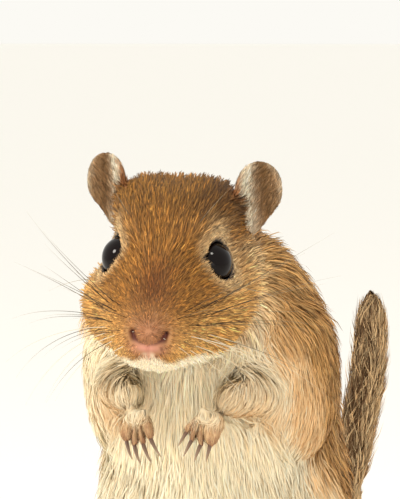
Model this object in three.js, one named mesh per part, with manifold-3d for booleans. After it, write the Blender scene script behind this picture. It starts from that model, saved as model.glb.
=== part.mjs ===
// A life-size Mongolian gerbil, sitting bolt upright with its forepaws hanging and its tail swung up
// behind. Millimetres, +Z up. The animal faces -Y and its left side is +X. It rests on the floor, z = 0,
// on the underside of its rump, both hind feet and the root of its tail. The origin is the middle of the
// rump's flat. Every surface is the outer face of the coat, so the solids have the furred outline.

import * as THREE from 'three';
import { mergeVertices } from 'three/addons/utils/BufferGeometryUtils.js';
import { LoftGeometry } from 'three/addons/geometries/LoftGeometry.js';
import Module from 'manifold-3d';

const wasm = await Module();
wasm.setup();

// Driving dimensions

const GAP = 0.3; // clear space kept between two nodes that meet
const SIDES = { left: 1, right: -1 }; // the animal's own left is +X

// The head hangs on the point midway between the eyes.
const HEAD = { forward: 32, height: 83.3, turn: 8.5, nod: 11, roll: 3 }; // angles in degrees
const EYE = { radius: 3.3, bulge: 1.6, from: 3.8 };
const LID = { thick: 0.5, spread: 0.1 };
const NOSE = { width: 4.6, height: 3.2, depth: 3.4, forward: 17.4, down: 8.1 };
const EAR = { height: 12.8, width: 10, thick: 0.8, cup: 3.2 };
const EAR_ROOT = { side: 8.9, shift: 0.5, back: 12, up: 0.2, lean: 5, swing: 30, tip: 10 };

const HIND_FOOT = { length: 29, width: 6.8, height: 5.4, side: 12.5, heel: -5 };
const WRIST = { side: 6.2, shift: 1.1, forward: 31.5, height: 61.6 };
const ELBOW = { side: 12.4, forward: 20, height: 61.5 };
const PAW = { width: 4.9, thick: 3 };
const TAIL = { root: 3.3, middle: 2.5, core: 1.6 };
const BRUSH = { radius: 3.3, rings: 6, around: 5, length: 13, width: 3.2, thick: 0.9 };

const vec = (x, y, z) => new THREE.Vector3(x, y, z);
const rad = THREE.MathUtils.degToRad;
const lerp = THREE.MathUtils.lerp;
const smooth = THREE.MathUtils.smoothstep;

// Solids

// A closed geometry as a solid that can be joined and cut.
function solid(geometry) {
  const bare = new THREE.BufferGeometry();
  bare.setAttribute('position', geometry.getAttribute('position').clone());
  if (geometry.index) bare.setIndex(geometry.index.clone());
  const merged = mergeVertices(bare, 1e-4);
  return new wasm.Manifold(new wasm.Mesh({
    numProp: 3,
    vertProperties: new Float32Array(merged.attributes.position.array),
    triVerts: new Uint32Array(merged.index.array),
  }));
}

// The largest closed surface of a solid, as a geometry.
function geometryOf(made) {
  const bodies = made.decompose().sort((a, b) => b.volume() - a.volume());
  const mesh = bodies[0].getMesh();
  const geometry = new THREE.BufferGeometry();
  geometry.setAttribute('position', new THREE.BufferAttribute(new Float32Array(mesh.vertProperties), 3));
  geometry.setIndex(new THREE.BufferAttribute(new Uint32Array(mesh.triVerts), 1));
  geometry.computeVertexNormals();
  return geometry;
}

const join = (solids) => solids.reduce((a, b) => a.add(b));

// Everything on the side of a plane that its normal points to, less a margin.
function halfSpace(point, normal, margin = 0) {
  const size = 400;
  const box = new THREE.BoxGeometry(size, size, size).translate(0, 0, size / 2 + margin);
  const turn = new THREE.Quaternion().setFromUnitVectors(vec(0, 0, 1), normal.clone().normalize());
  return solid(box.applyQuaternion(turn).translate(point.x, point.y, point.z));
}

const aboveFloor = () => halfSpace(vec(0, 0, 0), vec(0, 0, 1));

function ball(detail) {
  const round = new THREE.IcosahedronGeometry(1, detail);
  round.deleteAttribute('normal');
  round.deleteAttribute('uv');
  return mergeVertices(round, 1e-3);
}

function ellipsoid(centre, size, detail, grow = 0) {
  const made = ball(detail);
  made.scale(size.x + grow, size.y + grow, size.z + grow);
  return made.translate(centre.x, centre.y, centre.z);
}

// A tube along a path. size(t) gives its half width and half height there.
function tapered(path, size, steps, sides, across = vec(1, 0, 0)) {
  const sections = [];
  for (let i = 0; i <= steps; i++) {
    const t = i / steps;
    const centre = path.getPoint(t);
    const along = path.getTangent(t);
    const up = vec(0, 0, 0).crossVectors(along, across).normalize();
    const side = vec(0, 0, 0).crossVectors(up, along).normalize();
    const [w, h] = size(t);
    const ring = [];
    for (let j = 0; j < sides; j++) {
      const a = (j / sides) * Math.PI * 2;
      const out = side.clone().multiplyScalar(Math.cos(a) * w).addScaledVector(up, Math.sin(a) * h);
      ring.push(out.add(centre));
    }
    sections.push(ring);
  }
  const capped = { capStart: true, capEnd: true };
  const made = solid(new LoftGeometry(sections, capped));
  return made.volume() < 0 ? solid(new LoftGeometry(sections.reverse(), capped)) : made;
}

const curve = (...points) => new THREE.CatmullRomCurve3(points);

// Narrows both ends of a tube to a round tip over the given share of half its length.
function roundEnds(t, share) {
  const past = Math.max(0, Math.abs(2 * t - 1) - (1 - share)) / share;
  return Math.sqrt(Math.max(0.06, 1 - past * past));
}

// Soft forms. The body is a smooth union of named ellipsoids.

// The distance from a point to an ellipsoid, negative inside, near enough for blending.
function blobDistance(p, blob) {
  const q = p.clone().sub(blob.centre);
  if (blob.tilt) q.applyAxisAngle(vec(1, 0, 0), -rad(blob.tilt));
  const n = blob.power ?? 2; // above 2 the form is boxier
  const sizes = blob.size.toArray();
  const shares = q.toArray().map((v, i) => Math.abs(v) / sizes[i]);
  const inUnits = shares.reduce((sum, v) => sum + v ** n, 0) ** (1 / n);
  if (inUnits < 1e-6) return -Math.min(...sizes);
  const slope = Math.hypot(...shares.map((v, i) => v ** (n - 1) / sizes[i])) / inUnits ** (n - 1);
  return (inUnits - 1) / slope;
}

function blend(a, b, radius) {
  const h = Math.max(radius - Math.abs(a - b), 0) / radius;
  return Math.min(a, b) - (h * h * radius) / 4;
}

const fieldOf = (blobs) => (p) => blobs.reduce(
  (d, blob) => blend(d, blobDistance(p, blob), blob.blend),
  1e3,
);

// The point where a ray from inside leaves the field's surface.
function surfacePoint(field, from, direction, reach = 70) {
  const ray = direction.clone().normalize();
  const at = (r) => ray.clone().multiplyScalar(r).add(from);
  const step = 0.6;
  let outer = step;
  while (outer < reach && field(at(outer)) < 0) outer += step;
  let inner = outer - step;
  for (let n = 0; n < 12; n++) {
    const middle = (inner + outer) / 2;
    if (field(at(middle)) < 0) inner = middle;
    else outer = middle;
  }
  return at(outer);
}

// A ball whose points are pushed out from the centre until they lie on the field's surface.
function skinned(field, centre, spread, detail, reach) {
  const made = ball(detail);
  const at = made.attributes.position;
  for (let i = 0; i < at.count; i++) {
    const ray = vec(0, 0, 0).fromBufferAttribute(at, i).multiply(spread);
    at.setXYZ(i, ...surfacePoint(field, centre, ray, reach).toArray());
  }
  return solid(made);
}

const mirrored = (blob) => ({ ...blob, centre: vec(-blob.centre.x, blob.centre.y, blob.centre.z) });

const HAUNCH = { centre: vec(13, -7, 17.2), size: vec(9.6, 16, 17.4), blend: 4 };
const SHOULDER = { centre: vec(12.8, -11, 64), size: vec(6.4, 9.5, 12), blend: 5 };
const TRUNK = [
  { centre: vec(0, 0, 19), size: vec(18, 18, 19.6), blend: 3 }, // rump
  { centre: vec(-0.5, -1, 42), size: vec(20.1, 19.8, 27), blend: 6 }, // belly
  { centre: vec(0.4, -7.5, 62), size: vec(18.4, 18, 18), blend: 6 }, // chest
  { centre: vec(0.3, -12.5, 73.5), size: vec(16.6, 14, 14.4), blend: 5 }, // neck
  HAUNCH,
  mirrored(HAUNCH),
  SHOULDER,
  mirrored(SHOULDER),
];

// In the head's own frame: x to its left, -y forward, z up, and the origin midway between the eyes.
const CHEEK = { centre: vec(6.3, 2.2, -8.6), size: vec(6.5, 8.8, 7.2), blend: 4 };
const FACE_SIDE = { centre: vec(3.4, -6.2, -7.4), size: vec(4.6, 7.4, 6), blend: 4 };
const WHISKER_PAD = { centre: vec(2.7, -11, -9), size: vec(3.2, 4.2, 3.3), blend: 3 };
const BROW = { centre: vec(4.4, -0.4, 4.4), size: vec(2.4, 4.2, 2.2), blend: 2 };
const CROWN_EDGE = { centre: vec(5.6, 9.5, 5.7), size: vec(3.4, 6.4, 2.5), blend: 3.2 };
const SKULL = [
  { centre: vec(0, 7.6, 1.2), size: vec(8.7, 11, 7.8), power: 2.7, blend: 2 }, // cranium
  { centre: vec(0, -3.6, -1.6), size: vec(5.8, 12.2, 6.4), tilt: 36, blend: 4 }, // forehead, nose bridge
  { centre: vec(0, -13.8, -8.6), size: vec(3.2, 3, 3), blend: 2.5 }, // tip of the snout
  { centre: vec(0, -5.5, -11.2), size: vec(4.6, 8.2, 4), tilt: 6, blend: 3 }, // lower jaw
  CHEEK,
  mirrored(CHEEK),
  FACE_SIDE,
  mirrored(FACE_SIDE),
  BROW,
  mirrored(BROW),
  WHISKER_PAD,
  mirrored(WHISKER_PAD),
  CROWN_EDGE,
  mirrored(CROWN_EDGE),
];

const headTurn = new THREE.Euler(rad(HEAD.nod), rad(HEAD.roll), rad(HEAD.turn), 'ZXY');
const headPlace = new THREE.Matrix4().compose(
  vec(0, -HEAD.forward, HEAD.height),
  new THREE.Quaternion().setFromEuler(headTurn),
  vec(1, 1, 1),
);
const headInverse = headPlace.clone().invert();

const trunkField = fieldOf(TRUNK);
const skullField = fieldOf(SKULL);
const bodyField = (p) => blend(trunkField(p), skullField(p.clone().applyMatrix4(headInverse)), 5);
const headField = (p) => bodyField(p.clone().applyMatrix4(headPlace));
const grown = (field, by) => (p) => field(p) - by;

// Cuts between the nodes of the body: each part keeps what lies in its own room

const HEAD_ROOM = { centre: vec(0, -1, -0.9), size: vec(14.8, 24, 16.8) }; // in the head's frame
const NAPE_CUT = { point: vec(0, 15, 0), normal: vec(0, 1, -0.3).normalize() }; // in the head's frame
const HAUNCH_ROOM = { centre: vec(18, -9.5, 17), size: vec(10, 17, 19.4) };
const ARM_ROOM = { centre: vec(18, -15.5, 63), size: vec(9, 9.5, 11.5) };
const WITHERS_CUT = { point: vec(0, -15, 68.5), normal: vec(0, -0.42, 0.9).normalize() };

const roomSolid = (room, detail, grow = 0) => solid(ellipsoid(room.centre, room.size, detail, grow));
const haunchRoom = (side, grow) => roomSolid(side > 0 ? HAUNCH_ROOM : mirrored(HAUNCH_ROOM), 3, grow);
const armRoom = (side, grow) => roomSolid(side > 0 ? ARM_ROOM : mirrored(ARM_ROOM), 3, grow);
const above = (cut, margin) => halfSpace(cut.point, cut.normal, margin);
const below = (cut, margin) => halfSpace(cut.point, cut.normal.clone().negate(), margin);

const headRoom = (grow) => roomSolid(HEAD_ROOM, 5, grow).intersect(below(NAPE_CUT, -grow));

// A field that also ends a little outside a room or past a plane.
const inRoom = (field, room) => (p) => Math.max(field(p), blobDistance(p, room) - 1);
const underCut = (field, cut) => (p) => Math.max(field(p), p.clone().sub(cut.point).dot(cut.normal) - 1);

const wholeTrunk = (grow) => skinned(
  underCut(grown(bodyField, grow), WITHERS_CUT), vec(0, -4, 38), vec(19, 20, 32), 6, 60,
);

function torsoSolid() {
  let made = wholeTrunk(0).intersect(below(WITHERS_CUT, 0)).intersect(aboveFloor());
  for (const side of Object.values(SIDES)) {
    made = made.subtract(haunchRoom(side, GAP)).subtract(armRoom(side, GAP));
  }
  return made;
}

const wholeNeck = (grow) => skinned(grown(bodyField, grow), vec(0, -14, 76), vec(1, 1, 1), 5, 30);

function neckSolid() {
  let made = wholeNeck(0)
    .intersect(above(WITHERS_CUT, GAP))
    .subtract(headRoom(GAP).transform(headPlace.elements));
  for (const side of Object.values(SIDES)) made = made.subtract(armRoom(side, GAP));
  return made;
}

function haunchSolid(side) {
  const room = side > 0 ? HAUNCH_ROOM : mirrored(HAUNCH_ROOM);
  return skinned(inRoom(bodyField, room), vec(side * 16, -9, 17), vec(9, 17, 17), 4, 40)
    .intersect(haunchRoom(side, 0))
    .intersect(aboveFloor());
}

function upperArm(side) {
  const room = side > 0 ? ARM_ROOM : mirrored(ARM_ROOM);
  return skinned(inRoom(bodyField, room), vec(side * 15, -14, 63), vec(7, 9, 12), 3, 30)
    .intersect(armRoom(side, 0));
}

// Head

// The eye looks out square to the face where it sits.
function eyeSeat(side) {
  const skin = surfacePoint(headField, vec(0, EYE.from, -1.4), vec(side * 0.84, -0.54, 0.13), 20);
  const fieldAt = (d, step) => headField(skin.clone().addScaledVector(d, step));
  const slope = (d) => fieldAt(d, 0.8) - fieldAt(d, -0.8);
  const facing = vec(slope(vec(1, 0, 0)), slope(vec(0, 1, 0)), slope(vec(0, 0, 1))).normalize();
  return { facing, centre: skin.clone().addScaledVector(facing, EYE.bulge - EYE.radius) };
}

function noseSolid(grow = 0) {
  const centre = vec(0, -NOSE.forward + NOSE.depth / 2, -NOSE.down);
  return solid(ellipsoid(centre, vec(NOSE.width / 2, NOSE.depth / 2, NOSE.height / 2), 3, grow));
}

// A slit that curves out and up from the bottom of the nose pad.
function nostril(side) {
  const path = curve(
    vec(side * 0.7, -NOSE.forward - 0.1, -NOSE.down - 0.8),
    vec(side * 1.4, -NOSE.forward + 0.3, -NOSE.down - 0.5),
    vec(side * 2.1, -NOSE.forward + 0.95, -NOSE.down + 0.25),
  );
  return tapered(path, () => [0.34, 0.3], 4, 6, vec(0, 1, 0));
}

// A groove that follows the head's surface through the given directions.
function groove(points, width, steps) {
  const from = vec(0, -6, -8);
  const onSkin = points.map((p) => surfacePoint(headField, from, p.clone().sub(from), 20));
  return tapered(new THREE.CatmullRomCurve3(onSkin), () => [width / 2, width / 2], steps, 5);
}

// The rim of the eyelids, just clear of the eyeball.
function lidRing(side) {
  const height = EYE.radius - EYE.bulge;
  const radius = Math.sqrt(EYE.radius ** 2 - height ** 2) + LID.spread + LID.thick;
  const ring = new THREE.TorusGeometry(radius, LID.thick, 5, 18);
  const { facing, centre } = eyeSeat(side);
  ring.applyQuaternion(new THREE.Quaternion().setFromUnitVectors(vec(0, 0, 1), facing));
  centre.addScaledVector(facing, height);
  return solid(ring.translate(centre.x, centre.y, centre.z));
}

const eyeBall = (side, grow = 0) => {
  const r = EYE.radius;
  return solid(ellipsoid(eyeSeat(side).centre, vec(r, r, r), 3, grow));
};

function headSolid() {
  let made = skinned(inRoom(headField, HEAD_ROOM), vec(0, 0, -4), vec(10, 15, 10), 8, 34)
    .intersect(headRoom(0));
  for (const side of Object.values(SIDES)) made = made.add(lidRing(side));
  for (const side of Object.values(SIDES)) made = made.subtract(eyeBall(side, GAP));
  const lipMiddle = vec(0, -15.5, -11.1);
  const lip = (side) => [vec(side * 2.2, -14, -12), vec(side * 4.6, -10, -12)];
  const mouth = groove([...lip(-1).reverse(), lipMiddle, ...lip(1)], 0.7, 14);
  const cleft = groove([vec(0, -17, -9.6), vec(0, -16, -10.3), lipMiddle], 0.6, 4);
  return made.subtract(noseSolid(GAP)).subtract(mouth).subtract(cleft);
}

// A round, thin disc bent into a cup that opens forward. Its inner edge rolls over the further.
function earGeometry(side) {
  const disc = ball(4);
  const at = disc.attributes.position;
  for (let i = 0; i < at.count; i++) {
    const x = at.getX(i);
    const face = at.getY(i);
    const height = (at.getZ(i) + 1) / 2;
    const halfWidth = (EAR.width / 2) * lerp(0.6, 1, smooth(height, 0, 0.55));
    const bend = x < 0 ? lerp(1.5, 1.15, height) : lerp(1.3, 0.6, height);
    const across = (Math.sin(x * bend) / bend) * halfWidth;
    const cup = (1 - Math.cos(x * bend)) * EAR.cup;
    const skin = Math.sign(face) * Math.min(Math.abs(face) * 1.6, 1) * (EAR.thick / 2);
    at.setXYZ(i, across * side, skin - cup - 0.8 * height * height, (height - 0.04) * EAR.height);
  }
  if (side < 0) {
    const index = disc.index.array;
    for (let i = 0; i < index.length; i += 3) [index[i + 1], index[i + 2]] = [index[i + 2], index[i + 1]];
  }
  return disc;
}

function earSolid(side, clearOf) {
  const ear = earGeometry(side);
  const { tip, lean, swing } = EAR_ROOT;
  const turn = new THREE.Euler(rad(tip), rad(side * lean), rad(side * swing), 'ZYX');
  ear.applyQuaternion(new THREE.Quaternion().setFromEuler(turn));
  ear.translate(side * EAR_ROOT.side + EAR_ROOT.shift, EAR_ROOT.back, EAR_ROOT.up);
  return solid(ear).subtract(clearOf);
}

// Forelegs and forepaws

const wristAt = (side) => vec(side * WRIST.side + WRIST.shift, -WRIST.forward, WRIST.height);
const elbowAt = (side) => vec(side * ELBOW.side, -ELBOW.forward, ELBOW.height);

function forearm(side) {
  const wrist = wristAt(side);
  const elbow = elbowAt(side);
  const path = curve(elbow, elbow.clone().lerp(wrist, 0.55).add(vec(0, -0.8, 0.9)), wrist);
  return tapered(path, (t) => {
    const r = lerp(3.9, 2.1, t) * roundEnds(t, 0.3);
    return [r, r];
  }, 6, 9);
}

// In the paw's own frame: x across it, y out of its back, z from the wrist to the claws.
const DIGITS = [
  { side: -1.9, length: 0.78, spread: -0.14 },
  { side: -0.68, length: 1.0, spread: -0.05 },
  { side: 0.68, length: 0.98, spread: 0.05 },
  { side: 1.9, length: 0.8, spread: 0.16 },
];
const DIGIT = { start: 2.6, length: 3.8, thick: 0.85, knuckle: 0.9 };
const FORE_CLAW = { length: 2.7, thick: 0.5, curl: 0.35 };
const PAW_SWING = { left: 27, right: 8 }; // degrees that each hanging paw points inward

function digitPath(digit) {
  const length = DIGIT.length * digit.length;
  const from = vec(digit.side * 0.8, 0.1, DIGIT.start);
  return curve(
    from,
    from.clone().add(vec(digit.spread * length * 0.5, DIGIT.knuckle * 0.6, length * 0.45)),
    from.clone().add(vec(digit.spread * length, 0, length)),
  );
}

function pawPlace(name) {
  const side = SIDES[name];
  const lean = rad(PAW_SWING[name]);
  const down = vec(-side * Math.sin(lean), -0.12, -Math.cos(lean)).normalize();
  const across = vec(0, 0, 0).crossVectors(vec(side * 0.15, -1, 0.1).normalize(), down).normalize();
  const back = vec(0, 0, 0).crossVectors(down, across).normalize();
  return new THREE.Matrix4().makeBasis(across, back, down).setPosition(wristAt(side));
}

function forepaw() {
  const palm = ellipsoid(vec(0, -0.2, 2.2), vec(PAW.width / 2, PAW.thick / 2, 3.2), 2);
  const digits = DIGITS.map((digit) => tapered(digitPath(digit), (t) => {
    const r = DIGIT.thick * (1 + 0.1 * Math.cos(t * Math.PI * 4)) * lerp(1, 0.82, t) * roundEnds(t, 0.3);
    return [r, r];
  }, 5, 6));
  return join([solid(palm), ...digits]);
}

// A claw curves from its root toward the side given, and ends in a blunt point.
function claw(root, along, toward, size) {
  const hook = size.length * size.curl;
  const point = root.clone().addScaledVector(along, size.length).addScaledVector(toward, hook);
  const middle = root.clone().lerp(point, 0.5).addScaledVector(toward, -hook * 0.35);
  return tapered(curve(root, middle, point), (t) => {
    const r = size.thick * lerp(1, 0.2, t ** 1.4);
    return [r * 0.8, r];
  }, 3, 5);
}

// Hind feet: a long sole from heel to toes, flat on the floor

const TOES = [
  { side: -2.4, start: 0.5, length: 4.8, spread: -0.28 },
  { side: -1.25, start: 0.68, length: 6.6, spread: -0.12 },
  { side: 0, start: 0.7, length: 7.2, spread: 0 },
  { side: 1.25, start: 0.68, length: 6.6, spread: 0.12 },
  { side: 2.4, start: 0.52, length: 5.2, spread: 0.28 },
];
const TOE = { thick: 1.1, rise: 1.0 };
const HIND_CLAW = { length: 2.5, thick: 0.5, curl: 0.18 };

function toePath(side, toe) {
  const x = side * (HIND_FOOT.side + toe.side);
  const y = HIND_FOOT.heel - HIND_FOOT.length * toe.start;
  const out = side * toe.spread;
  return curve(
    vec(x, y, TOE.rise + 0.6),
    vec(x + out * toe.length * 0.5, y - toe.length * 0.5, TOE.rise + 0.7),
    vec(x + out * toe.length, y - toe.length, TOE.rise),
  );
}

function hindFoot(side) {
  const x = side * HIND_FOOT.side;
  const { heel, length, width, height } = HIND_FOOT;
  const back = (share) => heel - length * share;
  const path = curve(vec(x, heel, 2.3), vec(x, back(0.35), 2.1), vec(x, back(0.8), 1.5));
  const sole = tapered(path, (t) => {
    const end = roundEnds(t, 0.3);
    return [lerp(width * 0.42, width * 0.5, t) * end, lerp(height * 0.5, height * 0.34, t) * end];
  }, 8, 10);
  const toes = TOES.map((toe) => tapered(toePath(side, toe), (t) => {
    const r = TOE.thick * (1 + 0.1 * Math.cos(t * Math.PI * 4)) * lerp(1, 0.85, t) * roundEnds(t, 0.3);
    return [r, r];
  }, 5, 6));
  return join([sole, ...toes]).intersect(aboveFloor());
}

// Tail: a root on the floor, a middle that swings up, and the brush at its end

const TAIL_PATH = curve(
  vec(0, 13, 5),
  vec(2.2, 24, 2.7),
  vec(5.2, 35, 2.6),
  vec(7.4, 43, 8.5),
  vec(7.6, 46, 20),
  vec(7, 46.5, 34),
  vec(8.8, 46, 48),
  vec(11.4, 45, 61),
  vec(11.6, 43.5, 72.5),
);

const TAIL_CUTS = [0.34, 0.64]; // shares of the tail's length

// A length of the tail, cut square at each end but the first and the last.
function tailPiece(part, size, steps) {
  const from = TAIL_CUTS[part - 1] ?? 0;
  const to = TAIL_CUTS[part] ?? 1;
  const over = 0.015;
  const points = [];
  for (let i = 0; i <= 12; i++) {
    points.push(TAIL_PATH.getPointAt(Math.min(1, Math.max(0, lerp(from - over, to + over, i / 12)))));
  }
  let made = tapered(new THREE.CatmullRomCurve3(points), size, steps, 10);
  const cut = (share, way) => halfSpace(
    TAIL_PATH.getPointAt(share), TAIL_PATH.getTangentAt(share).multiplyScalar(way), GAP / 2,
  );
  if (from > 0) made = made.intersect(cut(from, 1));
  if (to < 1) made = made.intersect(cut(to, -1));
  return made;
}

// The brush: flat locks that root in a slim core and lean toward the tip, ring after ring

// A repeatable draw between -1 and 1.
function drawFrom(seed) {
  let state = seed;
  return () => {
    state = (state * 16807) % 2147483647;
    return (2 * state) / 2147483647 - 1;
  };
}

// The point of the tail's axis at a length, carried straight on past the tip, and its direction.
function tailAxis(length) {
  const whole = TAIL_PATH.getLength();
  const share = Math.min(length / whole, 1);
  const along = TAIL_PATH.getTangentAt(share);
  return { at: TAIL_PATH.getPointAt(share).addScaledVector(along, Math.max(0, length - whole)), along };
}

// The brush's own outline: full at first and rounded off toward the tip.
function brushRadius(length) {
  const left = Math.max(0.3, TAIL_PATH.getLength() - length);
  return BRUSH.radius * (1 - Math.exp(-left / 3.1));
}

// How far out of the tail's axis a lock lies along its length, as a share of the brush's radius.
const LOCK_RISE = [0.3, 0.64, 0.87, 0.98];

function brushLock(root, length, angle, lift, width) {
  const points = LOCK_RISE.map((out, i) => {
    const here = root + (i / (LOCK_RISE.length - 1)) * length;
    const { at, along } = tailAxis(here);
    const right = vec(1, 0, 0).cross(along).normalize();
    const front = vec(0, 0, 0).crossVectors(along, right);
    const radial = right.multiplyScalar(Math.cos(angle)).addScaledVector(front, Math.sin(angle));
    return at.addScaledVector(radial, out * lift * brushRadius(here));
  });
  const { along } = tailAxis(root);
  const across = vec(0, 0, 0).crossVectors(along, points[1].clone().sub(points[0])).normalize();
  return tapered(new THREE.CatmullRomCurve3(points), (t) => {
    const taper = Math.max(0.06, 1 - t ** 2.6);
    const halfWidth = (width / 2) * taper * lerp(0.75, 1, smooth(t, 0, 0.35));
    return [halfWidth, (BRUSH.thick / 2) * Math.max(taper, 0.3)];
  }, 3, 4, across);
}

function tailBrush() {
  const draw = drawFrom(41);
  const whole = TAIL_PATH.getLength();
  const start = TAIL_CUTS[1] * whole;
  const core = tailPiece(2, (t) => {
    const r = lerp(TAIL.middle, TAIL.core, smooth(t, 0, 0.14)) * Math.sqrt(Math.max(0.03, 1 - t ** 5));
    return [r, r];
  }, 10);
  const locks = [];
  for (let ring = 0; ring < BRUSH.rings; ring++) {
    const root = lerp(start + 0.8, whole - 6, ring / (BRUSH.rings - 1)) + 0.4 * draw();
    for (let i = 0; i < BRUSH.around; i++) {
      const angle = ((i + 0.5 * (ring % 2) + 0.1 * draw()) / BRUSH.around) * Math.PI * 2;
      const length = Math.min(BRUSH.length * (1 + 0.14 * draw()), whole + 0.8 - root);
      const width = BRUSH.width * (1 + 0.12 * draw());
      locks.push(brushLock(root + 0.3 * draw(), length, angle, 1 + 0.05 * draw(), width));
    }
  }
  return core.add(join(locks));
}

// Nodes

const FINISH = {
  fur_brown: { color: 0x9a6c38, roughness: 0.85 },
  fur_cream: { color: 0xe6d3b0, roughness: 0.85 },
  skin: { color: 0xc49a7c, roughness: 0.7 },
  nose: { color: 0xa8695a, roughness: 0.55 },
  eye: { color: 0x120a08, roughness: 0.08 },
  claw: { color: 0x4a2a1c, roughness: 0.4 },
};

const gerbil = new THREE.Group();
gerbil.name = 'gerbil';

function addNode(name, made, finish, place) {
  const whole = place ? made.transform(place.elements) : made;
  const material = new THREE.MeshStandardMaterial({ metalness: 0, ...FINISH[finish] });
  const mesh = new THREE.Mesh(geometryOf(whole), material);
  mesh.name = name;
  gerbil.add(mesh);
}

const grownHead = skinned(inRoom(grown(headField, GAP), HEAD_ROOM), vec(0, 0, -4), vec(10, 15, 10), 8, 34);
const grownTrunk = wholeTrunk(GAP).add(wholeNeck(GAP));

addNode('head', headSolid(), 'fur_brown', headPlace);
addNode('nose', noseSolid().subtract(nostril(1)).subtract(nostril(-1)), 'nose', headPlace);
addNode('neck', neckSolid(), 'fur_brown');
addNode('torso', torsoSolid(), 'fur_cream');

for (const [name, side] of Object.entries(SIDES)) {
  addNode(`ear_${name}`, earSolid(side, grownHead), 'fur_brown', headPlace);
  addNode(`eye_${name}`, eyeBall(side), 'eye', headPlace);
  addNode(`thigh_${name}`, haunchSolid(side), 'fur_brown');

  const place = pawPlace(name);
  const down = vec(0, 0, 1).transformDirection(place);
  const wristCut = (margin) => halfSpace(wristAt(side).addScaledVector(down, 0.6), down, margin);
  const lower = forearm(side).subtract(grownTrunk.subtract(armRoom(side, 0))).subtract(wristCut(0));
  addNode(`foreleg_${name}`, lower.add(upperArm(side)), 'fur_cream');
  const paw = forepaw().transform(place.elements).intersect(wristCut(GAP)).subtract(grownTrunk);
  addNode(`forepaw_${name}`, paw, 'skin');
  DIGITS.forEach((digit, i) => {
    const path = digitPath(digit);
    const along = path.getTangent(1);
    const root = path.getPoint(1).addScaledVector(along, GAP);
    addNode(`claw_fore_${name}_${i + 1}`, claw(root, along, vec(0, -1, 0), FORE_CLAW), 'claw', place);
  });

  const hind = hindFoot(side).subtract(haunchRoom(side, GAP)).subtract(grownTrunk);
  addNode(`hindfoot_${name}`, hind, 'fur_cream');
  TOES.forEach((toe, i) => {
    const path = toePath(side, toe);
    const along = path.getTangent(1).setZ(0.1).normalize();
    const root = path.getPoint(1).addScaledVector(path.getTangent(1), GAP);
    addNode(`claw_hind_${name}_${i + 1}`, claw(root, along, vec(0, 0, -1), HIND_CLAW), 'claw');
  });
}

const tailRoot = tailPiece(0, (t) => {
  const r = lerp(TAIL.root, TAIL.middle, t);
  return [r, r];
}, 11);
addNode('tail_root', tailRoot.intersect(aboveFloor()).subtract(grownTrunk), 'fur_brown');
addNode('tail_middle', tailPiece(1, () => [TAIL.middle, TAIL.middle], 10), 'fur_brown');
addNode('tail_brush', tailBrush(), 'fur_brown');

export default gerbil;
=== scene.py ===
# %% [markdown]
# # A life-size gerbil in its coat
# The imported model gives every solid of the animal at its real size, out to the tips of the fur. This
# lesson dresses it: one skin under the coat, then the coat itself as small tufts of real mesh, then eyes,
# claws and whiskers. Lengths are written in millimetres and turned to Blender's metres when a mesh is made.

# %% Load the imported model
import math

import bmesh
import bpy
import numpy as np
from mathutils import Matrix, Vector
from mathutils.bvhtree import BVHTree
from mathutils.kdtree import KDTree


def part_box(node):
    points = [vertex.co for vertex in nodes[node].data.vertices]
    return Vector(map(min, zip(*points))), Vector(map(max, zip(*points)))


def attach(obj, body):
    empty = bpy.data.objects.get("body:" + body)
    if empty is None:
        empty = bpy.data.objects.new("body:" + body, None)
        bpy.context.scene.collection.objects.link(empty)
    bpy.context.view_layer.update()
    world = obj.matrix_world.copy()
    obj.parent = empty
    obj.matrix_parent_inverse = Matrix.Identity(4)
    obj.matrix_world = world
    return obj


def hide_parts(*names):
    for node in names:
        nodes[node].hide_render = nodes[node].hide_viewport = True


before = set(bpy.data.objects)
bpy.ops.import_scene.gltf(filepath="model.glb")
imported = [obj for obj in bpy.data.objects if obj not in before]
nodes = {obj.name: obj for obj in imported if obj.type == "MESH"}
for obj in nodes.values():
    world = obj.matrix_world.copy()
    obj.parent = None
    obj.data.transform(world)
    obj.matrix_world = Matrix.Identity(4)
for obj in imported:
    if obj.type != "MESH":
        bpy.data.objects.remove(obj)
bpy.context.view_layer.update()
MM = 0.001  # metres in a millimetre
rng = np.random.default_rng(11)  # a fixed seed, so that every run grows the same coat

# %% [markdown]
# ## Colours and nodes
# Colours are given as sRGB hex values, the way a paint chart gives them, but a shader computes in
# linear light, so one function turns them. A second one adds a shader node with its settings and its links,
# which keeps each material below short enough to read as a recipe.


# %% Colour and node helpers
def linear(hex_colour):
    """An sRGB colour such as "#c08a4a" as linear red, green and blue."""
    values = np.array([int(hex_colour[i : i + 2], 16) for i in (1, 3, 5)]) / 255
    return np.where(values <= 0.04045, values / 12.92, ((values + 0.055) / 1.055) ** 2.4)


def add(tree, kind, links=None, **settings):
    """Adds a node. Links maps its inputs to values or to (node, output) pairs."""
    node = tree.nodes.new(kind)
    for name, value in settings.items():
        setattr(node, name, value)
    for name, value in (links or {}).items():
        if isinstance(value, tuple) and isinstance(value[0], bpy.types.Node):
            tree.links.new(value[0].outputs[value[1]], node.inputs[name])
        else:
            node.inputs[name].default_value = value
    return node


def new_material(name):
    """An empty material, its node tree and its output node."""
    material = bpy.data.materials.new(name)
    material.use_nodes = True
    material.node_tree.nodes.clear()
    return material, material.node_tree, add(material.node_tree, "ShaderNodeOutputMaterial")


# %% [markdown]
# ## Camera
# The photograph is a portrait taken from a little to the animal's left and a little above its eyes. Its
# distance is guessed from the mild perspective. The eyes are the surest landmark, so the camera is placed
# by them: the point midway between the eyes falls on a known pixel, at a known size.

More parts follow.
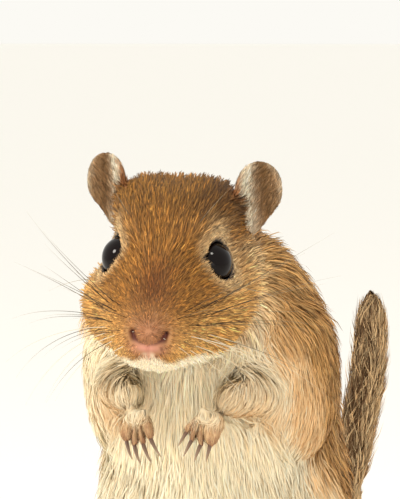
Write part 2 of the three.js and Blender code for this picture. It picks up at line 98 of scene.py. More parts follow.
# %% The camera
PHOTO = (400, 499)
VIEW = {"azimuth": 17.0, "elevation": 4.0, "distance": 450.0}  # degrees and mm
EYES_AT = (167.5, 254.0)  # pixel of the point midway between the eyes
PIXEL = 0.145  # mm of the animal that one pixel covers at the eyes
EYES = np.array([0.0, -32.0, 83.3])  # mm

azimuth, elevation = math.radians(VIEW["azimuth"]), math.radians(VIEW["elevation"])
away = np.array(
    [
        math.sin(azimuth) * math.cos(elevation),
        -math.cos(azimuth) * math.cos(elevation),
        math.sin(elevation),
    ]
)
right = np.array([math.cos(azimuth), math.sin(azimuth), 0.0])
up = np.cross(away, right)
middle = EYES - right * (EYES_AT[0] - PHOTO[0] / 2) * PIXEL - up * (PHOTO[1] / 2 - EYES_AT[1]) * PIXEL

lens = bpy.data.cameras.new("portrait_lens")
lens.sensor_fit = "HORIZONTAL"
lens.lens = lens.sensor_width * VIEW["distance"] / (PHOTO[0] * PIXEL)
camera = bpy.data.objects.new("portrait_camera", lens)
camera.matrix_world = Matrix.Translation((middle + away * VIEW["distance"]) * MM) @ Matrix(
    [right, up, away]
).transposed().to_4x4()
bpy.context.scene.collection.objects.link(camera)
bpy.context.scene.camera = camera
print("lens", round(lens.lens, 1), "mm, eyes seen from", VIEW["distance"], "mm")

# %% [markdown]
# ## Stage and light
# A small animal is best lit like a portrait: soft light from everywhere, a key lamp to the upper left, a
# smaller lamp above and a wide, low fill beside the camera. The floor is pale and runs so far back that its
# edge doesn't show, and the Standard view transform keeps it near white. A glossy eye shows a lamp where
# its surface faces halfway between the lamp and the camera, so each lamp is placed by the spot that it
# should draw on an eye.


# %% The stage and the lights
def lamp_at(name, toward, distance, size, power, tint):
    """A round area light seen from the eyes in a direction given as right, up and back to the camera."""
    way = right * toward[0] + up * toward[1] + away * toward[2]
    light = bpy.data.lights.new(name, "AREA")
    light.shape = "DISK"
    light.size = size * MM
    light.energy = power
    light.color = linear(tint)
    lamp = bpy.data.objects.new(name, light)
    lamp.location = Vector(EYES + way * distance) * MM
    lamp.rotation_euler = Vector(way).to_track_quat("Z", "Y").to_euler()
    bpy.context.scene.collection.objects.link(lamp)


FLOOR_SIZE = 60000.0  # mm, so that its far edge lies high in the picture
floor_mesh = bpy.data.meshes.new("floor")
half = FLOOR_SIZE / 2 * MM
floor_corners = [(-half, -half, 0), (half, -half, 0), (half, half, 0), (-half, half, 0)]
floor_mesh.from_pydata(floor_corners, [], [(0, 1, 2, 3)])
floor = bpy.data.objects.new("floor", floor_mesh)
bpy.context.scene.collection.objects.link(floor)

# Board with a rolled matt paint: it shows the soft shadow and no highlight.
board, tree, output = new_material("matt_white_board")
paint_coat = add(tree, "ShaderNodeBsdfPrincipled", {"Base Color": (*linear("#fffdf8"), 1), "Roughness": 0.9})
tree.links.new(paint_coat.outputs[0], output.inputs["Surface"])
floor_mesh.materials.append(board)

world = bpy.data.worlds.new("studio")
world.use_nodes = True
world.node_tree.nodes["Background"].inputs["Color"].default_value = (*linear("#fcfaf4"), 1)
world.node_tree.nodes["Background"].inputs["Strength"].default_value = 1.0
bpy.context.scene.world = world
bpy.context.scene.view_settings.view_transform = "Standard"

# Each lamp: its direction, distance in mm, size in mm, power in watts and tint.
lamp_at("key_light", (-0.73, 0.53, 0.45), 600, 140, 1.9, "#fff8ee")
lamp_at("top_light", (0.18, 0.785, 0.59), 600, 110, 1.0, "#fff8ee")
lamp_at("low_fill", (0.1, -0.25, 0.96), 800, 600, 1.3, "#fffaf4")
print("lamps", sorted(light.name for light in bpy.data.lights))

# %% [markdown]
# ## The head's own directions
# Markings and the lie of the fur on a face follow the face, not the room. The eyes and the nose of the
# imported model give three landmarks, and from them come the head's own axes: x to its left, y backwards and
# z up through the crown, with the origin midway between the eyes.


# %% Head axes from the eyes and the nose
def centre_of(node):
    """The middle of a node's box, in mm."""
    low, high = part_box(node)
    return np.array((low + high) / 2) / MM


def unit(v):
    """Vectors made one long."""
    return v / np.maximum(np.linalg.norm(v, axis=-1, keepdims=True), 1e-9)


NOSE_DROP = math.radians(26)  # how far the nose lies below the line of sight, seen from the side
head_origin = (centre_of("eye_left") + centre_of("eye_right")) / 2
head_x = unit(centre_of("eye_left") - centre_of("eye_right"))
to_nose = centre_of("nose") - head_origin
to_nose = unit(to_nose - head_x * (to_nose @ head_x))
across_nose = unit(np.cross(head_x, -to_nose))
head_z = across_nose * math.cos(NOSE_DROP) - to_nose * math.sin(NOSE_DROP)
head_y = -(to_nose * math.cos(NOSE_DROP) + across_nose * math.sin(NOSE_DROP))
HEAD_AXES = np.array([head_x, head_y, head_z])


def to_head(points):
    """World millimetres to the head's own millimetres."""
    return (points - head_origin) @ HEAD_AXES.T


def from_head(directions):
    """A direction in the head's axes as one in the world's."""
    return directions @ HEAD_AXES


EYE_SPOTS = to_head(np.array([centre_of("eye_left"), centre_of("eye_right")]))
NOSE_SPOT = to_head(centre_of("nose"))
print("eyes at", EYE_SPOTS.round(1).tolist(), "nose at", NOSE_SPOT.round(1).tolist())


# %% [markdown]
# ## Flesh
# Under the coat is one unbroken skin. The solids are parted by thin gaps, so each one is copied, swollen a
# little until the gaps close, and all are remeshed into one even net of small squares. The remesher loses
# thin things, so paws and ears are made on nets of their own and joined to the body with a union.


# %% Copies of the solids, closed into one net
SWELL = 0.25  # mm, more than half of the gap between two solids
SWELLS = {"paw": 0.15, "foot": 0.2, "ear": 0.2}  # mm, for the small parts
BODY_NET, PAW_NET, FOOT_NET = 0.5, 0.2, 0.3  # mm across one square
SIDES = ("left", "right")


def points_of(mesh):
    """The points of a mesh, in mm."""
    values = np.empty(len(mesh.vertices) * 3, np.float32)
    mesh.vertices.foreach_get("co", values)
    return values.reshape(-1, 3).astype(float) / MM


def normals_of(mesh):
    """The normal at each point of a mesh."""
    values = np.empty(len(mesh.vertices) * 3, np.float32)
    mesh.vertex_normals.foreach_get("vector", values)
    return values.reshape(-1, 3).astype(float)


def move_points(mesh, points):
    """Puts the points of a mesh at new places, in mm."""
    mesh.vertices.foreach_set("co", (points * MM).astype(np.float32).ravel())
    mesh.update()


def shade_smooth(mesh):
    """Lets the light run evenly over the faces of a mesh."""
    mesh.polygons.foreach_set("use_smooth", np.ones(len(mesh.polygons), bool))


def merged_copy(names, swell):
    """The named solids as one mesh, doubles merged and each point pushed out by swell mm."""
    whole = bmesh.new()
    for name in names:
        part = bmesh.new()
        part.from_mesh(nodes[name].data)
        bmesh.ops.remove_doubles(part, verts=part.verts, dist=1e-6)
        part.normal_update()
        for vertex in part.verts:
            vertex.co += vertex.normal * swell * MM
        copy = bpy.data.meshes.new(name)
        part.to_mesh(copy)
        part.free()
        whole.from_mesh(copy)
        bpy.data.meshes.remove(copy)
    return whole


def linked(name, bm_or_mesh):
    """A new object in the scene from a bmesh or a mesh."""
    mesh = bm_or_mesh
    if isinstance(mesh, bmesh.types.BMesh):
        mesh = bpy.data.meshes.new(name)
        bm_or_mesh.to_mesh(mesh)
        bm_or_mesh.free()
    made = bpy.data.objects.new(name, mesh)
    bpy.context.scene.collection.objects.link(made)
    return made


def applied(thing):
    """Turns an object with modifiers into a plain mesh object of the same name."""
    bpy.context.view_layer.update()
    mesh = bpy.data.meshes.new_from_object(thing.evaluated_get(bpy.context.evaluated_depsgraph_get()))
    thing.modifiers.clear()
    old = thing.data
    thing.data = mesh
    bpy.data.meshes.remove(old)
    return thing


def netted(name, bm, size):
    """A solid remeshed into a net of small squares."""
    made = linked(name, bm)
    remesh = made.modifiers.new("net", "REMESH")
    remesh.mode = "VOXEL"
    remesh.voxel_size = size * MM
    return applied(made)


def subdivided(thing):
    """Rounds an object by two levels of Subdivision Surface."""
    rounder = thing.modifiers.new("round", "SUBSURF")
    rounder.levels = rounder.render_levels = 2
    return applied(thing)


def union(base, other):
    """Joins another closed mesh to the base and removes it."""
    cut = base.modifiers.new("join", "BOOLEAN")
    cut.operation = "UNION"
    cut.solver = "MANIFOLD"
    cut.object = other
    applied(base)
    bpy.data.objects.remove(other)


# %% A line down the middle of the tail
TAIL_SLICE, BRUSH_SLICE = 4.0, 3.0  # mm


def slices(node, axis, thickness):
    """Middles of slices through a node along an axis, in mm: a line down the middle of a bent rod."""
    points = np.array([v.co for v in nodes[node].data.vertices]) / MM
    low, high = points[:, axis].min(), points[:, axis].max()
    middles = []
    for start in np.arange(low, high - thickness * 0.6, thickness):  # a thin last slice is left out
        inside = points[(points[:, axis] >= start) & (points[:, axis] < start + thickness)]
        if len(inside) > 3:
            middle_point = (inside.min(0) + inside.max(0)) / 2
            middle_point[axis] = start + thickness / 2
            middles.append(middle_point)
    return middles


tail_slices = slices("tail_root", 1, TAIL_SLICE)[:-1]
tail_slices += slices("tail_middle", 2, TAIL_SLICE) + slices("tail_brush", 2, BRUSH_SLICE)
tail_line = np.array(tail_slices)
for _ in range(3):  # three rounds even out the jumps from slice to slice
    tail_line[1:-1] = (tail_line[:-2] + 2 * tail_line[1:-1] + tail_line[2:]) / 4
tail_way = unit(np.gradient(tail_line, axis=0))
tail_length = np.concatenate([[0], np.cumsum(np.linalg.norm(np.diff(tail_line, axis=0), axis=1))])
print("tail", round(tail_length[-1], 1), "mm along its middle")

# %% Join the solids of flesh
BRUSH_CORE, CORE_TIP = 1.5, 0.25  # mm, radius of the tail inside its brush, and at its end
BRUSH_FROM = 34.0  # mm above the floor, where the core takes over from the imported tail
RISING = 40.0  # mm behind the middle of the animal, past which the tail rises


def rod(points, radii, sides=12):
    """A closed round rod along a line of points, as a bmesh. Points and radii are in mm."""
    ways = unit(np.gradient(points, axis=0))
    made = bmesh.new()
    rings = []
    for point, way, radius in zip(points, ways, radii):
        side = unit(np.cross(way, [1.0, 0.3, 0.0]))
        other = np.cross(way, side)
        turns = [2 * math.pi * i / sides for i in range(sides)]
        ring = [point + radius * (math.cos(a) * side + math.sin(a) * other) for a in turns]
        rings.append([made.verts.new(Vector(p) * MM) for p in ring])
    for low_ring, high_ring in zip(rings, rings[1:]):
        for i in range(sides):
            j = (i + 1) % sides
            made.faces.new([low_ring[i], low_ring[j], high_ring[j], high_ring[i]])
    made.faces.new(rings[0][::-1])
    made.faces.new(rings[-1])
    bmesh.ops.recalc_face_normals(made, faces=made.faces)
    return made


TRUNK = ["head", "nose", "neck", "torso", "tail_root", "tail_middle"]
TRUNK += [f"{part}_{side}" for side in SIDES for part in ("thigh", "foreleg")]
trunk = merged_copy(TRUNK, SWELL)
brush_from = np.searchsorted(tail_line[:, 2] * (tail_line[:, 1] > RISING), BRUSH_FROM)
core_line = tail_line[brush_from:]
core_radii = BRUSH_CORE * (1 - np.linspace(0, 1, len(core_line)) ** 4) ** 0.5 + CORE_TIP
core = bpy.data.meshes.new("brush_core")
core_rod = rod(core_line, core_radii)
core_rod.to_mesh(core)
core_rod.free()
trunk.from_mesh(core)
skin = netted("skin", trunk, BODY_NET)
print("body net", len(skin.data.vertices), "points")
for side in SIDES:
    union(skin, netted("paw", merged_copy([f"forepaw_{side}"], SWELLS["paw"]), PAW_NET))
    union(skin, netted("foot", merged_copy([f"hindfoot_{side}"], SWELLS["foot"]), FOOT_NET))
    union(skin, subdivided(linked("ear", merged_copy([f"ear_{side}"], SWELLS["ear"]))))
print("with paws, feet and ears", len(skin.data.vertices), "points")

# %% [markdown]
# ## A finer face
# Nostrils, lids and the split of the lip are narrower than the squares of the net. A net of their size over
# the whole animal would have millions of faces, so only the edges near the nose and the eyes are split.

# %% Finer net on the muzzle and around the eyes
NOSE_FINE, EYE_FINE = 5.5, 5.2  # mm around the middle of the nose and of each eye


def refine(thing, centre, radius, cuts):
    """Splits every edge of a mesh within a radius in mm of a place."""
    bm = bmesh.new()
    bm.from_mesh(thing.data)
    bm.verts.index_update()
    near = np.linalg.norm(points_of(thing.data) - centre, axis=1) < radius
    chosen = [e for e in bm.edges if near[e.verts[0].index] and near[e.verts[1].index]]
    bmesh.ops.subdivide_edges(bm, edges=chosen, cuts=cuts, use_grid_fill=True)
    bmesh.ops.triangulate(bm, faces=bm.faces)
    bm.to_mesh(thing.data)
    bm.free()


refine(skin, centre_of("nose"), NOSE_FINE, 2)
for side in SIDES:
    refine(skin, centre_of(f"eye_{side}"), EYE_FINE, 1)
print("with a finer face", len(skin.data.vertices), "points")

# %% [markdown]
# ## Which part is which
# Coat depth, hair length and colour differ from part to part, but they change gradually on a living
# animal. Each point of the skin first takes the name of the nearest solid, and the numbers that depend on
# it are then evened out along the net, so that no border shows.

# %% Part masks on the skin
GROUPS = {
    "head": ["head"],
    "nose": ["nose"],
    "ear": ["ear_left", "ear_right"],
    "paw": ["forepaw_left", "forepaw_right"],
    "foot": ["hindfoot_left", "hindfoot_right"],
    "arm": ["foreleg_left", "foreleg_right"],
    "thigh": ["thigh_left", "thigh_right"],
    "tail": ["tail_root", "tail_middle"],
    "brush": ["brush"],
    "body": ["neck", "torso"],
}
group_names = list(GROUPS)

samples, labels = [], []
for index, group in enumerate(group_names):
    for name in GROUPS[group]:
        mesh = core if name == "brush" else nodes[name].data
        corners = points_of(mesh)
        middles = np.array([np.mean([corners[i] for i in face.vertices], axis=0) for face in mesh.polygons])
        samples += [corners, middles]
        labels += [np.full(len(corners) + len(middles), index)]
samples, labels = np.concatenate(samples), np.concatenate(labels)
lookup = KDTree(len(samples))
for index, point in enumerate(samples):
    lookup.insert(point, index)
lookup.balance()

skin_points = points_of(skin.data)
nearest_group = np.array([labels[lookup.find(point)[1]] for point in skin_points])
edges = np.empty(len(skin.data.edges) * 2, np.int32)
skin.data.edges.foreach_get("vertices", edges)
edges = edges.reshape(-1, 2)
degree = np.bincount(edges.ravel(), minlength=len(skin_points)).astype(float)


def evened(values, rounds, keep=0.5):
    """Values on the skin's points, averaged with their neighbours' a number of times."""
    values = np.asarray(values, float)
    flat = values.reshape(len(values), -1)
    for _ in range(rounds):
        around = np.empty_like(flat)
        for column in range(flat.shape[1]):
            sums = np.bincount(edges[:, 0], flat[edges[:, 1], column], len(flat))
            sums += np.bincount(edges[:, 1], flat[edges[:, 0], column], len(flat))
            around[:, column] = sums / degree
        flat = keep * flat + (1 - keep) * around
    return flat.reshape(values.shape)


MASK_ROUNDS = 6  # which blurs each border over a millimetre or two
masks = evened(np.eye(len(group_names))[nearest_group], MASK_ROUNDS)


def share_of(*groups):
    """How far each point of the skin belongs to some of the parts, from 0 to 1."""
    return masks[:, [group_names.index(g) for g in groups]].sum(1)


WRIST_FUR = (58.6, 61.0)  # mm above the floor, where bare fingers turn into the furred wrist
above_fingers = (skin_points[:, 2] - WRIST_FUR[0]) / (WRIST_FUR[1] - WRIST_FUR[0])
wrist_share = share_of("paw") * np.clip(above_fingers, 0, 1)
masks[:, group_names.index("arm")] += wrist_share
masks[:, group_names.index("paw")] -= wrist_share
HEAD_BLEND = 50  # rounds, which carries the head's markings some 3 mm into the neck's
soft_head = evened(share_of("head", "nose", "ear"), HEAD_BLEND)
print({name: int((nearest_group == i).sum()) for i, name in enumerate(group_names)})


# %% [markdown]
# ## The depth of the coat
# The solids end at the tips of the fur, so the skin has to lie deeper by the thickness of the coat: almost
# nothing on the nose and paws, a millimetre on the face and over two on the back and belly. The net is
# first smoothed, which takes out the facets of the solids, and then each point is moved in along its normal.


# %% Coat depth at each point
def step(values, start, end):
    """0 before start, 1 after end, and smooth between."""
    t = np.clip((values - start) / (end - start), 0, 1)
    return t * t * (3 - 2 * t)


COAT_DEPTH = {  # mm
    "head": 1.15, "nose": 0.05, "ear": 0.05, "paw": 0.1, "foot": 0.3,
    "arm": 1.1, "thigh": 1.9, "tail": 0.75, "brush": 0.0, "body": 2.3,
}  # fmt: skip


def eye_distance(points):
    """Distance in mm from the nearer eye's middle."""
    spots = EYE_SPOTS[:, None, :]
    return np.linalg.norm(to_head(points)[None] - spots, axis=2).min(0)


def nose_distance(points):
    """Distance in mm from the middle of the nose."""
    return np.linalg.norm(to_head(points) - NOSE_SPOT, axis=1)


depth = masks @ np.array([COAT_DEPTH[g] for g in group_names])
face = share_of("head", "nose")
bare = step(nose_distance(skin_points), 2.0, 13.0) * step(eye_distance(skin_points), 3.6, 6.2)
depth *= 1 - face * (1 - np.maximum(bare, 0.06))  # shorter fur toward the nose and the eyes
paws = np.array([centre_of(f"forepaw_{side}") for side in SIDES])
from_paw = np.linalg.norm(skin_points[:, None] - paws[None], axis=2).min(1)
wrist_thin = 1 - 0.72 * (1 - step(from_paw, 3.0, 9.0))  # and down the forearm to the wrist
depth *= 1 - share_of("arm") * (1 - wrist_thin)
swollen = masks @ np.array([SWELLS.get(g, SWELL) for g in group_names])
print("coat depth from", depth.min().round(2), "to", depth.max().round(2), "mm")

# %% Even the net and move it in
SWELL_BACK = 1.53  # share kept in a round that swells thin parts back after a round that shrinks them
BODY_ROUNDS, CREASE_ROUNDS = 9, 45
WRIST_ABOVE_PAW = np.array([0, 0.4, 3.4])  # mm, from the middle of a forepaw
ARM_CREASE = 1.6  # how strongly the edge where an arm meets the body is filled
WRIST_REACH = 2.2  # mm around the wrist that are filled too

thin = share_of("ear", "paw", "foot", "tail", "brush")[:, None]
full = skin_points.copy()
for _ in range(6):
    full = evened(evened(full, 1), 1, SWELL_BACK)
skin_points = evened(skin_points, BODY_ROUNDS) * (1 - thin) + full * thin
wrists = np.array([centre_of(f"forepaw_{side}") + WRIST_ABOVE_PAW for side in SIDES])
from_wrist = np.linalg.norm(skin_points[:, None] - wrists[None], axis=2).min(1)
arm_edge = evened(4 * share_of("arm") * (1 - share_of("arm")), 10)
crease = np.clip(ARM_CREASE * arm_edge + np.exp(-((from_wrist / WRIST_REACH) ** 2)), 0, 1)[:, None]
skin_points += (evened(skin_points, CREASE_ROUNDS) - skin_points) * crease
move_points(skin.data, skin_points)
inward = unit(evened(normals_of(skin.data), 4))
skin_points -= inward * (depth + swollen)[:, None]
skin_points[:, 2] = np.maximum(skin_points[:, 2], 0.05)  # nothing under the floor
move_points(skin.data, skin_points)
shade_smooth(skin.data)
print("skin moved in by up to", (depth + swollen).max().round(2), "mm")

# %% [markdown]
# ## Lids, nose, ears and fingers
# The small forms that the fur doesn't hide are modelled in the skin. The lids lie on the ball of the eye,
# the nostrils are two curled slits joined by a fold over the split lip, the ear is a cupped leaf with a
# rolled front edge, and grooves part the fingers. They could be cut with booleans, which leave hard edges, or
# sculpted by hand, which a changed net would lose. So each is a smooth push of the skin's points, measured
# from landmarks.

# %% Landmarks of the small forms
EYE_BALL = 3.3  # mm, radius
LID = 0.1  # mm, how far the lids' edge stands off the ball
NOSTRIL = np.array([(2.35, -6.6), (2.05, -7.3), (1.1, -7.75), (0.0, -7.9)])  # x and z in head mm
NOSTRIL_SIZE = np.array([(0.46, 0.8), (0.5, 0.75), (0.26, 0.3), (0.12, 0.12)])  # half width and depth
CLEFT = (-8.0, -10.6)  # from and to, z in head mm
INNER_CORNER = np.array([6.0, -4.0, 1.3])  # of an eye, head mm, mirrored for the other


def nostril_fold(points):
    """Nearness to the nostril slits and their depth in mm, on the front of the nose."""
    x, y, z = to_head(points).T
    flat = np.stack([np.abs(x), z], 1)
    near, deep = np.zeros(len(points)), np.zeros(len(points))
    for start, end, size, next_size in zip(NOSTRIL, NOSTRIL[1:], NOSTRIL_SIZE, NOSTRIL_SIZE[1:]):
        way = end - start
        t = np.clip((flat - start) @ way / (way @ way), 0, 1)[:, None]
        gap = np.linalg.norm(flat - start - t * way, axis=1)
        wide = size[0] + (next_size[0] - size[0]) * t[:, 0]
        here = np.exp(-((gap / wide) ** 2)) * (y < -12)
        near = np.maximum(near, here)
        deep = np.maximum(deep, here * (size[1] + (next_size[1] - size[1]) * t[:, 0]))
    return near, deep


def lip_cleft(points):
    """Nearness to the split of the upper lip, from 0 to 1."""
    x, y, z = to_head(points).T
    return np.exp(-((x / 0.28) ** 2)) * step(CLEFT[0] - z, -0.1, 0.3) * step(z - CLEFT[1], 0, 0.8) * (y < -11)


# %% Places on the ears
ears = {}
for side in SIDES:
    cloud = points_of(nodes[f"ear_{side}"].data)
    middle_of_ear = cloud.mean(0)
    _, ways = np.linalg.eigh(np.cov((cloud - middle_of_ear).T))
    tall, facing = ways[:, 2], ways[:, 0]
    tall = tall * np.sign(tall[2])
    facing = facing * -np.sign(facing[1])
    wide = np.cross(tall, facing)
    wide = wide * np.sign(wide[0]) * (1 if side == "left" else -1)
    local = (cloud - middle_of_ear) @ np.array([wide, tall, facing]).T
    ears[side] = (middle_of_ear, np.array([wide, tall, facing]), np.abs(local).max(0))
    print("ear", side, "half sizes", np.abs(local).max(0).round(2), "faces", facing.round(2))


def ear_place(points):
    """Across the ear from the head's side outwards and up it, each from -1 to 1, and its facing way."""
    side_of = (to_head(points)[:, 0] < 0).astype(int)
    across, rise, facing = np.empty(len(points)), np.empty(len(points)), np.empty((len(points), 3))
    for index, side in enumerate(SIDES):
        mine = side_of == index
        middle_of_ear, axes, half_size = ears[side]
        local = (points[mine] - middle_of_ear) @ axes.T / half_size
        width_here = np.sqrt(np.clip(1 - np.clip(local[:, 1], -0.2, 0.93) ** 2, 0.1, 1))
        across[mine], rise[mine] = local[:, 0] / width_here, local[:, 1]
        facing[mine] = axes[2]
    return across, rise, facing


def bell(values, centre, half_width):
    """1 at the centre, and next to nothing two half widths from it."""
    return np.exp(-(((values - centre) / half_width) ** 2))


# %% Places on the fingers
fingers = []  # start at the wrist's side and end at the claw's root, mm
for side in SIDES:
    wrist = centre_of(f"forepaw_{side}") + np.array([0, 0.3, 3.2])
    for digit in range(1, 5):
        claw = points_of(nodes[f"claw_fore_{side}_{digit}"].data)
        reach = np.linalg.norm(claw - wrist, axis=1)
        base = claw[reach < reach.min() + 0.5].mean(0)
        fingers.append((side, wrist + (base - wrist) * 0.3, base))


def finger_groove(points):
    """Nearness to the grooves between fingers, from 0 to 1, and how far down the hand."""
    groove, down = np.zeros(len(points)), np.zeros(len(points))
    for side in SIDES:
        gaps, along = [], []
        for start, end in [f[1:] for f in fingers if f[0] == side]:
            way = end - start
            t = np.clip((points - start) @ way / (way @ way), 0, 1)
            gaps.append(np.linalg.norm((points - start - t[:, None] * way)[:, [0, 2]], axis=1))
            along.append(t)
        order = np.sort(np.array(gaps), axis=0)
        near_hand = order[0] < 2.0
        t = np.array(along)[np.array(gaps).argmin(0), np.arange(len(points))]
        groove = np.where(near_hand, bell(order[1] - order[0], 0, 0.42) * step(t, 0.0, 0.35), groove)
        down = np.where(near_hand, t, down)
    return groove, down


# %% Push the small forms into the skin
CLEFT_DEPTH = 0.4  # mm
GROOVE_DEPTH, FINGER_SWELL = 0.5, 0.16  # mm down between the fingers and up along them
EAR_HOLLOW, EAR_ROLL, EAR_RIM = -0.75, 0.45, 0.2  # mm out of the ear's front
LID_REACH = 5.0  # mm from the middle of the eye, where the lids turn into the face

skin_ways = normals_of(skin.data)
nose_side = share_of("head", "nose")
_, deep = nostril_fold(skin_points)
skin_points += HEAD_AXES[1] * (deep * nose_side)[:, None]
skin_points += HEAD_AXES[1] * (CLEFT_DEPTH * lip_cleft(skin_points) * nose_side)[:, None]
across, rise, facing = ear_place(skin_points)
ear_share = share_of("ear")
on_front = step((skin_ways * facing).sum(1), -0.2, 0.5)
hollow = EAR_HOLLOW * bell(across, 0.35, 0.42) * step(rise, -1.1, -0.3) * step(1 - rise, 0.05, 0.5)
roll = EAR_ROLL * bell(across, -0.5, 0.34) * on_front * step(0.95 - rise, 0, 0.3)
edge_roll = EAR_RIM * bell(across, 0.93, 0.16) * on_front
skin_points += facing * ((hollow + roll + edge_roll) * ear_share)[:, None]
groove, down = finger_groove(skin_points)
sunk = (GROOVE_DEPTH * groove - FINGER_SWELL * (1 - groove)) * share_of("paw") * step(down, 0.05, 0.3)
skin_points -= skin_ways * sunk[:, None]
for side in SIDES:
    gap = skin_points - centre_of(f"eye_{side}")
    reach = np.linalg.norm(gap, axis=1)
    faces_ball = -(skin_ways * gap).sum(1) / reach
    hug = step(faces_ball, -0.35, 0.3) * step(LID_REACH - reach, 0, 0.9)
    target = np.maximum(reach + (EYE_BALL + LID - reach) * hug, np.where(reach < 4, EYE_BALL + LID, 0))
    skin_points += gap / reach[:, None] * (target - reach)[:, None]
move_points(skin.data, skin_points)
print("finger grooves at", int((groove > 0.5).sum()), "points")
print("lids at", int((eye_distance(skin_points) < 3.8).sum()), "points")

# %% [markdown]
# ## Markings
# A gerbil's wild coat is golden brown above, with each hair grey at the root, golden in the middle and
# often black at the tip, and cream below with a grey root. A painted image could hold that, but it needs an
# unwrap without stretches. Here one function says, for any place on the skin, which colours a hair has along
# its length. Skin and hairs both ask it, so they always agree.

# %% Marking colours
PALETTE = {
    "golden": "#a06c2c",
    "crown": "#8f6227",
    "cheek": "#dca45a",
    "bridge": "#6f3a12",
    "streak": "#4a2f14",
    "muzzle": "#9a683a",
    "buff": "#dcbd8d",
    "cream": "#f8e6c8",
    "chest": "#f4e4c4",
    "belly": "#efe3c6",
    "orange": "#e3b880",
    "flank": "#c4955a",
    "under_pale": "#cdb994",
    "under_brown": "#7d5a34",
    "streak_shade": "#ad966f",
    "tick": "#38220f",
    "tail_side": "#cfb084",
    "tail_back": "#472b0f",
    "ear_skin": "#ad8a64",
    "ear_hollow": "#86633e",
    "ear_band": "#eaddc4",
    "ear_inner": "#a8642c",
    "paw": "#b98d68",
    "groove_shade": "#4a2a16",
    "paw_end": "#8a4a30",
    "nose": "#b5795c",
    "nostril": "#5a2416",
    "lip": "#cf8c78",
    "lid": "#1c110b",
}
PAINT = {name: linear(value) for name, value in PALETTE.items()}
print(len(PAINT), "colours")


def mixed(a, b, share):
    """From one colour to another by a share, for one place or for many."""
    return a + (b - a) * np.asarray(share)[..., None]


def wander(points, size, seed):
    """Soft random waves about one size in mm across, from -1 to 1."""
    ways = np.random.default_rng(seed).normal(size=(7, 3))
    ways = unit(ways) * (2 * math.pi / size) * np.linspace(0.6, 1.4, 7)[:, None]
    phases = np.random.default_rng(seed + 1).uniform(0, 2 * math.pi, 7)
    return np.sin(points @ ways.T + phases).sum(1) / 3.2


def dorsal_turn(points):
    """Where a point lies along the tail in mm, and how far it faces the tail's upper side, from -1 to 1."""
    gaps = np.linalg.norm(points[:, None] - tail_line[None], axis=2)
    at = gaps.argmin(1)
    way = tail_way[at]
    upper = np.array([0.0, -1.0, 1.0]) - way * (way @ np.array([0.0, -1.0, 1.0]))[:, None]
    outward = points - tail_line[at]
    outward -= way * (outward * way).sum(1, keepdims=True)
    return tail_length[at], (unit(outward) * unit(upper)).sum(1)


# %% Marks of the body and the head
BORDER_HEIGHTS = [0, 30, 40, 48.8, 54, 60.6, 71.6, 84]  # mm above the floor
BORDER_LINE = [-2, -3, -4, -6, -11.5, -15.5, -19, -27]  # y in mm of the line between cream and brown


def body_marks(points, rag):
    """Brown back and flanks, an orange border, cream below: colour, root colour and share of dark tips."""
    x, y, z = points.T
    border = np.interp(z, BORDER_HEIGHTS, BORDER_LINE)
    # The body turns a little, so its right side shows more cream.
    behind = y - border - 1.3 * rag - 5 * step(-x, 4, 10)
    fine_streaks = wander(points * np.array([1, 1, 0.22]), 1.5, 9)
    chest = mixed(PAINT["belly"], PAINT["chest"], step(z, 50, 62))
    # Painted shade, broken into fine streaks: where the arms meet the chest, and low on its sides below the
    # forearms.
    shaded = bell(np.abs(x), 9, 4) * bell(z, 65.5, 3.6) + 0.5 * step(-z, -57, -50) * step(np.abs(x), 3, 9)
    chest = mixed(chest, PAINT["streak_shade"], np.clip(shaded * (0.45 + 0.6 * fine_streaks), 0, 0.7))
    body = mixed(chest, PAINT["orange"], step(behind, -3.2, -1) * 0.85)
    body = mixed(body, PAINT["flank"], step(behind, -1, 2.5))
    root = mixed(mixed(chest, PAINT["under_pale"], 0.5), PAINT["under_brown"], step(behind, -1, 3))
    return body, root, 0.42 * step(behind, 0, 4) * (1 + 0.4 * rag)


def head_marks(points, rag):
    """Crown, bridge, cheeks, pale rings and the cream throat: colour, root colour and share of dark tips."""
    hx, hy, hz = to_head(points).T
    top = mixed(PAINT["golden"], PAINT["crown"], step(hz + 0.25 * hy, 3, 9))
    streak = bell(hx, 4.8 + 0.25 * hy, 1.9) * step(hz, 2.5, 5.5) * step(hy, -4, 0)
    streak = np.maximum(streak, bell(np.hypot(np.hypot(hx - 7.6, hy - 9), hz - 7), 0, 3))
    top = mixed(top, PAINT["streak"], 0.8 * np.clip(streak + 0.2 * rag * streak, 0, 1))
    bridge = bell(hx, 0, 2.6) * bell(hy, -11.8, 3.2) * step(hz, -5.5, -3)
    top = mixed(top, PAINT["bridge"], 0.85 * bridge)
    side = mixed(top, PAINT["cheek"], step(-hz + 0.15 * hy, 1.5, 5) * step(np.abs(hx), 1, 4))
    ring = bell(eye_distance(points), 4.3, 1.3) * (0.75 + 0.25 * step(hy, -3, 1))
    below_ear = np.exp(-((np.abs(hx) - 11) ** 2 + (hy - 9) ** 2) / 14) * step(-hz, -3, 1)
    side = mixed(side, PAINT["buff"], np.clip(0.8 * ring + 0.8 * below_ear, 0, 0.95))
    side = mixed(side, PAINT["muzzle"], 0.8 * bell(nose_distance(points), 0, 4.4) * step(hz, -9.6, -6))
    edge = -10.6 + 0.2 * np.clip(hy + 2, 0, 20) + 1.4 * bell(hx, 0.2, 1.6) + 0.4 * rag
    throat = step(edge - hz, -0.3, 0.8)
    side = mixed(side, PAINT["cream"], throat)
    tick = (0.42 + 0.2 * step(hz, 0, 7) + 0.2 * bridge) * (1 - throat) * (1 - 0.75 * ring)
    return side, mixed(PAINT["under_brown"], PAINT["under_pale"], throat), tick


